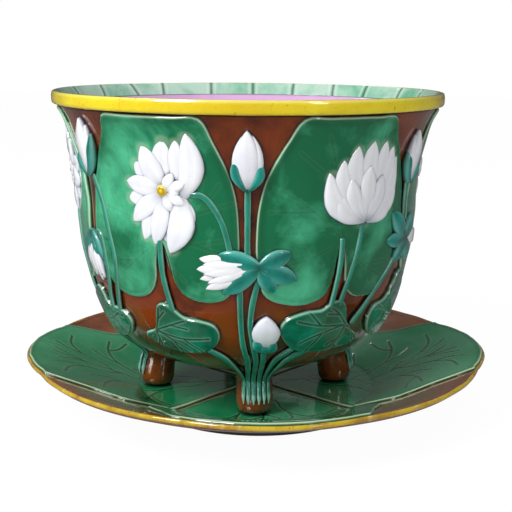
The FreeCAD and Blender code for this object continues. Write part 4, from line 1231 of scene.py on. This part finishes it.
@dataclass
class Relief(Assembly):
    """Leaves, flowers, buds and stems, made for the front and turned half round for the rear."""

    body: str = "jardiniere"

    def both(self, name: str, shell: Shell, glaze: str, slot: Slot) -> None:
        """Makes a piece on each half."""
        for half, turn in (("front_", 0.0), ("rear_", HALF_TURN)):
            copy = Shell(turn_points(shell.points, turn), shell.faces, shell.values)
            self.make(half + name, copy, glaze, half + name, slot)

    @staticmethod
    def leaf_veins(knot: np.ndarray, outline: np.ndarray, count: int, reach: float,
                   seed: int) -> list[np.ndarray]:
        """Veins from a knot towards the outline, each with a fork on one side.

        A vein to the edge point e runs through k + s (e - k) for s up to reach, bowed sideways
        by a drawn amount times sin(pi s). The fork leaves its middle and is 0.34 as long.
        Edge points within 12 mm of the knot get no vein.

        Args:
            knot: where the veins meet.
            outline: the leaf's outline.
            count: how many veins.
            reach: how far they run, as a share of the way to the edge.
            seed: number that the bows are drawn from.

        Returns:
            The veins as broken lines.
        """
        draw = np.random.default_rng(seed)
        lines = []
        picks = (np.arange(count) + 0.35) * len(outline) / count
        for number, index in enumerate(picks.astype(int)):
            way = outline[index] - knot
            if np.linalg.norm(way) < 12.0:
                continue
            side = np.array([-way[1], way[0]])
            s = np.linspace(0.04, reach, 9)[:, None]
            bow = draw.uniform(-0.09, 0.09)
            line = knot + s * way + side * bow * np.sin(math.pi * s)
            lines.append(line)
            fork = draw.choice([-1, 1]) * draw.uniform(0.16, 0.26)
            t = np.linspace(0, 1, 5)[:, None]
            lines.append(line[4] + t * (way * 0.34 + side * fork))
        return lines

    @staticmethod
    def petal_lines() -> list[tuple]:
        """Foot, tip and width of the petals round which white glaze has bled into the leaves."""
        lines = [spec[:5] for spec in OPEN_FLOWER_PETALS]
        lines += [(*HALF_FLOWER_FOOT, *tip) for tip in HALF_FLOWER_TIPS]
        lines += [(*SIDE_FLOWER_HEART, *tip) for tip in SIDE_FLOWER_TIPS]
        return lines

    def leaves(self) -> None:
        """Six tall leaf panels and eight small leaves."""
        tall = {"relief": 2.6, "vein_depth": 0.05, "vein_width": 0.7, "vein_show": 0.1,
                "rings": 70}
        small = {"relief": 4.0, "vein_depth": 0.5, "vein_width": 0.6, "vein_show": 0.9,
                 "rings": 50}
        for prefix, table, style, glaze, slot, veins, around in (
                ("leaf_panel_", LEAF_PANELS, tall, "leaf", Slot.LEAF, 8, 460),
                ("small_leaf_", SMALL_LEAVES, small, "small_leaf", Slot.PAD, 6, 340)):
            for number, (name, (middle, centre, knot, points)) in enumerate(table.items()):
                outline = smooth_path([WALL.flat(a, z, middle) for a, z in points], around, True)
                lines = self.leaf_veins(np.array(WALL.flat(*knot, middle)), outline, veins, 0.84,
                                        20 + number)
                petals = [(WALL.flat(a, z, middle), WALL.flat(b, y, middle), HALO_HALF * w)
                          for a, z, b, y, w in self.petal_lines()
                          if abs(a - middle) < HALO_REACH and style is tall]
                leaf = Leaf(outline, np.array(WALL.flat(*centre, middle)), lines,
                            seed=number + 3, flowers=petals, **style)
                self.both(prefix + name, leaf.shell(middle), glaze, slot)

    def flowers(self) -> None:
        """Open, half-open and wedge flowers with their sepals and hearts."""
        inner = PetalStyle(7.8, foot=0.8, tip=0.7, groove=0.3, blunt=0.4)
        middle = OPEN_FLOWER_HEART[0]
        shells = [petal(spec, middle, PetalStyle(3.8 + 0.3 * number, blunt=0.2, bow=bow))
                  for number, (*spec, bow) in enumerate(OPEN_FLOWER_PETALS)]
        shells += [petal(spec, middle, inner) for spec in OPEN_FLOWER_INNER]
        self.both("open_flower", join(shells), "white", Slot.WHITE)
        self.side_flower(inner)
        hearts = [heart(place, 5.2, 8.4, place[0])
                  for place in (OPEN_FLOWER_HEART, SIDE_FLOWER_HEART)]
        self.both("flower_hearts", join(hearts), "heart", Slot.YELLOW)
        self.half_flower()
        sepals = [shell for name in WEDGE_FLOWERS for shell in self.wedge_flower(name)]
        self.both("flower_sepals", join(sepals), "sepal", Slot.TURQUOISE)

    def side_flower(self, inner: PetalStyle) -> None:
        """Flower on a side leaf, each of whose petals has a short one before it."""
        place = SIDE_FLOWER_HEART
        shells = []
        for number, (azimuth, height, width) in enumerate(SIDE_FLOWER_TIPS):
            style = PetalStyle(7.0 if number % 2 else 5.2, blunt=0.35)
            length, breadth = SHORT_PETAL
            short = (place[0] + length * (azimuth - place[0]),
                     place[1] + length * (height - place[1]), breadth * width)
            shells += [petal((*place, azimuth, height, 1.2 * width), place[0], style),
                       petal((*place, *short), place[0], inner)]
        self.both("side_flower", join(shells), "white", Slot.WHITE)

    def half_flower(self) -> None:
        """Half-open flower: a fan of petals bowed inwards, with five more before it."""
        foot = HALF_FLOWER_FOOT
        shells = []
        for layer, number in enumerate(HALF_FLOWER_ORDER):
            tip = HALF_FLOWER_TIPS[number]
            style = PetalStyle(7.4 - 0.25 * layer, foot=0.9, bow=0.014 * (foot[0] + 0.8 - tip[0]),
                               blunt=0.25)
            shells.append(petal((*foot, *tip), foot[0], style))
        for spread, height, width in HALF_FLOWER_INNER:
            style = PetalStyle(8.2, foot=0.9, tip=0.75, bow=-0.012 * spread)
            shells.append(petal((*foot, foot[0] + spread, height, width), foot[0], style))
        self.both("half_open_flower", join(shells), "white", Slot.WHITE)

    def wedge_flower(self, name: str) -> list[Shell]:
        """Makes a flower in a brown wedge and returns its sepals.

        Args:
            name: name of the piece, and its row in the table.

        Returns:
            The sepals' shells.
        """
        middle, place, tips, greens = WEDGE_FLOWERS[name]
        shells = [petal((*place, *tip), middle, PetalStyle(7.0 if number % 2 else 5.2))
                  for number, tip in enumerate(tips)]
        # A narrow petal between each two
        for (azimuth, height, width), (following, other, _) in zip(tips, tips[1:]):
            tip = ((0.9 * (azimuth + following) + 0.2 * place[0]) / 2,
                   (0.9 * (height + other) + 0.2 * place[1]) / 2, 0.8 * width)
            shells.append(petal((*place, *tip), middle, PetalStyle(7.6, tip=0.6)))
        self.both(name, join(shells), "white", Slot.WHITE)
        style = PetalStyle(7.4, foot=0.95, groove=1.3, blunt=0.2)
        return [petal((*spec, 1.2 * width), middle, style) for *spec, width in greens]

    @staticmethod
    def grow(specs: list, middle: float, relief: float, tip: float, blunt: float) -> list[Shell]:
        """Petals of a bud.

        Args:
            specs: petals with their bows.
            middle: azimuth that they are seen from.
            relief: how far they stand out.
            tip: share of the relief at the tip.
            blunt: how blunt they are.

        Returns:
            Their shells.
        """
        return [petal(spec, middle, PetalStyle(relief, foot=0.8, tip=tip, groove=0.15,
                                               blunt=blunt, bow=bow))
                for *spec, bow in specs]

    def bud(self, name: str, middle: float, whites: list, greens: list) -> list[Shell]:
        """Makes a bud of two side petals and one before them, and returns its sepals.

        Args:
            name: name of the piece.
            middle: azimuth that it is seen from.
            whites: its petals, the side ones first.
            greens: its sepals.

        Returns:
            The sepals' shells.
        """
        shells = (self.grow(whites[:2], middle, *BUD_SIDE_STYLE)
                  + self.grow(whites[2:], middle, *BUD_FRONT_STYLE))
        self.both(name, join(shells), "white", Slot.WHITE)
        return self.grow(greens, middle, *BUD_SEPAL_STYLE)

    def buds(self) -> None:
        """Buds over the wedges and the low buds, with their sepals."""
        sepals = self.grow(LOW_BUD_SEPALS, 0.0, *BUD_SEPAL_STYLE)
        for name, spec in BUDS.items():
            sepals += self.bud("bud_" + name, *spec)
        self.both("bud_sepals", join(sepals), "sepal", Slot.TURQUOISE)
        self.bud("low_bud", 0.0, LOW_BUD, [])

    def stems(self) -> None:
        """Stems on the wall and down the feet."""
        shells = [wall_stem(route, middle) for middle, routes in WALL_STEMS for route in routes]
        self.both("wall_stems", join(shells), "stem", Slot.STEM)
        shells = []
        for azimuth, stems in ((FOOT_AZIMUTH, FRONT_FOOT_STEMS),
                               (FOOT_AZIMUTH + 90.0, SIDE_FOOT_STEMS)):
            shells += [foot_stem(route, azimuth, angle) for route, angle in stems]
        self.both("foot_stems", join(shells), "stem", Slot.STEM)


# ---------------------------------------------------------------- dish

@dataclass
class DishSet(Assembly):
    """The dish, its yellow lip and the four lily pads on it."""

    body: str = "dish"
    around: int = 720
    roll_radius: float = 2.2
    lip_depth: float = 6.4

    def ground(self) -> None:
        """Brown dish with its foot ring."""
        top = np.stack([DISH.radius, DISH.height - PAD_THICKNESS], axis=1)
        top = top[(top[:, 0] > 4.0) & (top[:, 0] < GROUND_RADIUS)][::6]
        edge = top[-1, 1]
        under = smooth_path([(GROUND_RADIUS, edge - 6.6), (178.0, 29.6), (152.0, 19.2),
                             (133.0, 12.4), (118.0, 9.2), (110.0, 8.0)], 50)
        ring = rounded([(109.5, 0.0), (98.5, 0.0), (98.5, RECESS_HEIGHT)])[:24]
        low = np.array([(60.0, RECESS_HEIGHT), (4.0, RECESS_HEIGHT)])
        loop = np.vstack([top, [(GROUND_RADIUS, edge)], under, ring, low])
        ends = np.array([[0, 0, WELL_HEIGHT - PAD_THICKNESS], [0, 0, RECESS_HEIGHT]]) * MM
        shell = Shell.of_rings(revolve(loop, 288, 0.0, 0.0), *ends)
        self.make("dish", shell, "dish_brown", "dish_body", Slot.DISH_BROWN)

    def lip(self) -> None:
        """Lobed edge of the dish: brown ground that ends in an uneven yellow roll."""
        turn = circle(self.around)
        plan = np.stack([np.sin(turn), -np.cos(turn)], axis=1) * DISH_RADIUS
        edge = DISH.edge(np.degrees(turn)) - 0.35 + 0.35 * ripple(plan, 34.0, 11)
        inner = GROUND_RADIUS + 0.1
        share = np.linspace(0, 1, 10)[:, None]
        roll = np.linspace(0.5 * math.pi, -0.5 * math.pi, 11)[1:, None]
        half = self.roll_radius
        end = edge - half
        across = np.vstack([inner + share * (end - inner), end + half * np.cos(roll),
                            end + (inner - end) * share[1:]])
        drop = np.vstack([0 * share, half * (1 - np.sin(roll)),
                          2 * half + (self.lip_depth - 2 * half) * share[1:]])
        level = np.interp(across, DISH.radius, DISH.height) - PAD_THICKNESS - drop
        rings = np.stack([across * np.sin(turn), -across * np.cos(turn), level], axis=2) * MM
        back = np.maximum(edge - across, 0)
        brown = ease(back - 2.6 - 1.6 * ripple(plan, 26.0, 12), -0.8, 0.8).ravel()
        chips = ease(ripple(plan, 7.0, 13), 0.5, 0.6) * bell(back, 1.6, 1.1)
        shell = Shell.of_rings(rings, thin=(0.9 * chips).ravel(), pool=np.zeros(len(brown)))
        piece = self.make("dish_lip", shell, "dish_yellow", "dish_lip_band", Slot.YELLOW)
        self.second_glaze(piece, "dish_brown", brown)

    @staticmethod
    def pad_outline(count: int) -> np.ndarray:
        """Outline of a lily pad, kept inside the dish's lobed edge."""
        right = [(b, a) for a, b in LILY_PAD_HALF]
        end = [(52.0, 212.0), (26.0, 216.0), (0.0, 217.0), (-26.0, 216.0), (-52.0, 212.0)]
        left = [(-b, a) for b, a in right[::-1]]
        flat = smooth_path([(0.0, LILY_PAD_HEART), *right, *end, *left], count, True)
        reach = np.hypot(*flat.T)
        azimuth = np.degrees(np.arctan2(flat[:, 0], flat[:, 1])) + DISH_AZIMUTH
        limit = DISH.edge(azimuth) - 2.2 + 0.7 * ripple(flat, 22.0, 17)
        return flat * np.minimum(1, limit / np.maximum(reach, 1.0))[:, None]

    def pads(self) -> None:
        """Four lily pads; the front and rear ones lie over the others."""
        outline = self.pad_outline(640)
        mirrored = [[(-x, y + 6.0) for x, y in line] for line in PAD_VEINS[1:]]
        veins = [smooth_path(line, 26) for line in PAD_VEINS + mirrored]
        centre = np.array([0.0, LILY_PAD_MIDDLE])
        over = [sign * outline[:, ::-1] * (1, -1) for sign in (1, -1)]
        for count, side in enumerate(SIDES):
            pad = LilyPad(outline, centre, veins, roll=1.8, vein_depth=0.22, rings=90,
                          over=over if side in ("right", "left") else [])
            self.make("pad_" + side, pad.shell(DISH_AZIMUTH + 90.0 * count), "dish_green",
                      "lily_pad_" + side, Slot.DISH_GREEN)


# ---------------------------------------------------------------- studio

@dataclass(frozen=True)
class Softbox:
    """Soft rectangular lamp aimed at the jardiniere."""

    name: str
    place: tuple
    size: tuple
    power: float

    def build(self) -> None:
        """Puts the lamp in the scene."""
        lamp = bpy.data.lights.new(self.name, "AREA")
        lamp.shape = "RECTANGLE"
        lamp.size, lamp.size_y = self.size
        lamp.energy = self.power
        holder = bpy.data.objects.new(self.name, lamp)
        holder.location = self.place
        aim = Vector((0.0, 0.0, 0.15)) - holder.location
        holder.rotation_euler = aim.to_track_quat("-Z", "Y").to_euler()
        bpy.context.scene.collection.objects.link(holder)


@dataclass(frozen=True)
class Studio:
    """Pale floor, soft light and the camera at the photograph's angle."""

    camera_place: tuple = (-0.010, -0.9612, 0.3349)
    pitch: float = 0.2026
    yaw: float = 0.0086
    roll: float = 0.0088
    lens: float = 72.84
    sensor: float = 36.0
    floor_half: float = 6.0
    lamps: tuple = (Softbox("KeyLamp", (-1.2, -1.2, 1.5), (0.7, 0.9), 39.0),
                    Softbox("FillLamp", (1.3, -1.6, 1.1), (0.25, 0.9), 4.0),
                    Softbox("BackLamp", (-0.3, 1.6, 1.9), (1.2, 0.5), 5.0))

    @staticmethod
    def show(tree: bpy.types.NodeTree, kind: str, lit: bpy.types.Node, mirrored: float,
             white: float, share: float) -> bpy.types.NodeSocket:
        """Surface that lights the object, looks dim in mirrors and white to the camera.

        Args:
            tree: tree of the floor or the sky.
            kind: class of its glowing nodes.
            lit: node that lights the object.
            mirrored: brightness in mirrors.
            white: brightness for the camera.
            share: how much of the white the camera sees.

        Returns:
            The mixed output.
        """
        path = add_node(tree, "LightPath").outputs
        dim = add_node(tree, kind, {"Strength": mirrored})
        glow = add_node(tree, kind, {"Color": (1, 1, 1, 1), "Strength": white})
        part = add_node(tree, "Math", {0: path["Is Camera Ray"], 1: share}, operation="MULTIPLY")
        mix = add_node(tree, "MixShader", {0: path["Is Glossy Ray"], 1: lit.outputs[0],
                                           2: dim.outputs[0]})
        return add_node(tree, "MixShader", {0: part.outputs[0], 1: mix.outputs[0],
                                            2: glow.outputs[0]}).outputs[0]

    def floor(self) -> None:
        """White floor that the camera sees as paper white, with a faint shadow."""
        half = self.floor_half
        mesh = bpy.data.meshes.new("studio_floor")
        mesh.from_pydata([(-half, -half, 0), (half, -half, 0), (half, half, 0),
                          (-half, half, 0)], [], [(0, 1, 2, 3)])
        made = bpy.data.materials.new("StudioFloor")
        made.use_nodes = True
        tree = made.node_tree
        shader = tree.nodes["Principled BSDF"]
        set_inputs(tree, shader, {"Base Color": (0.85, 0.85, 0.85, 1), "Roughness": 0.7})
        set_inputs(tree, tree.nodes["Material Output"],
                   {"Surface": self.show(tree, "Emission", shader, 0.15, 1.03, 0.94)})
        mesh.materials.append(made)
        piece = bpy.data.objects.new("studio_floor", mesh)
        bpy.context.scene.collection.objects.link(piece)

    def sky(self) -> None:
        """Even surround that the camera sees as white and the glaze mirrors as dark."""
        world = bpy.data.worlds.new("StudioSky")
        bpy.context.scene.world = world
        world.use_nodes = True
        tree = world.node_tree
        shader = tree.nodes["Background"]
        set_inputs(tree, shader, {"Color": (0.95, 0.97, 1.0, 1), "Strength": 0.46})
        set_inputs(tree, tree.nodes["World Output"],
                   {"Surface": self.show(tree, "Background", shader, 0.12, 1.0, 1.0)})

    def camera(self) -> None:
        """Camera turned by yaw about Z, tipped down by pitch and rolled."""
        data = bpy.data.cameras.new("PhotoCamera")
        data.lens, data.sensor_width = self.lens, self.sensor
        forward = Vector((math.sin(self.yaw) * math.cos(self.pitch),
                          math.cos(self.yaw) * math.cos(self.pitch), -math.sin(self.pitch)))
        right = Vector((math.cos(self.yaw), -math.sin(self.yaw), 0))
        up = right.cross(forward)
        side = right * math.cos(self.roll) + up * math.sin(self.roll)
        top = up * math.cos(self.roll) - right * math.sin(self.roll)
        basis = Matrix((side, top, -forward)).transposed().to_4x4()
        holder = bpy.data.objects.new("PhotoCamera", data)
        holder.matrix_world = Matrix.Translation(self.camera_place) @ basis
        bpy.context.scene.collection.objects.link(holder)
        bpy.context.scene.camera = holder

    def build(self) -> None:
        """Sets up everything that isn't the object."""
        self.floor()
        self.sky()
        for lamp in self.lamps:
            lamp.build()
        self.camera()
        bpy.context.scene.view_settings.view_transform = "Standard"


# ---------------------------------------------------------------- build

def main() -> None:
    """Builds every piece in order."""
    logging.basicConfig(level=logging.INFO, format="%(message)s")
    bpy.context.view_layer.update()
    palette = Palette()
    pot, relief, dish = Pot(palette), Relief(palette), DishSet(palette)
    for build in (pot.wall, pot.rim, pot.lip, pot.feet, relief.leaves, relief.flowers,
                  relief.buds, relief.stems, dish.ground, dish.lip, dish.pads):
        build()
    Studio().build()
    bpy.context.view_layer.update()


if __name__ == "__main__":
    main()
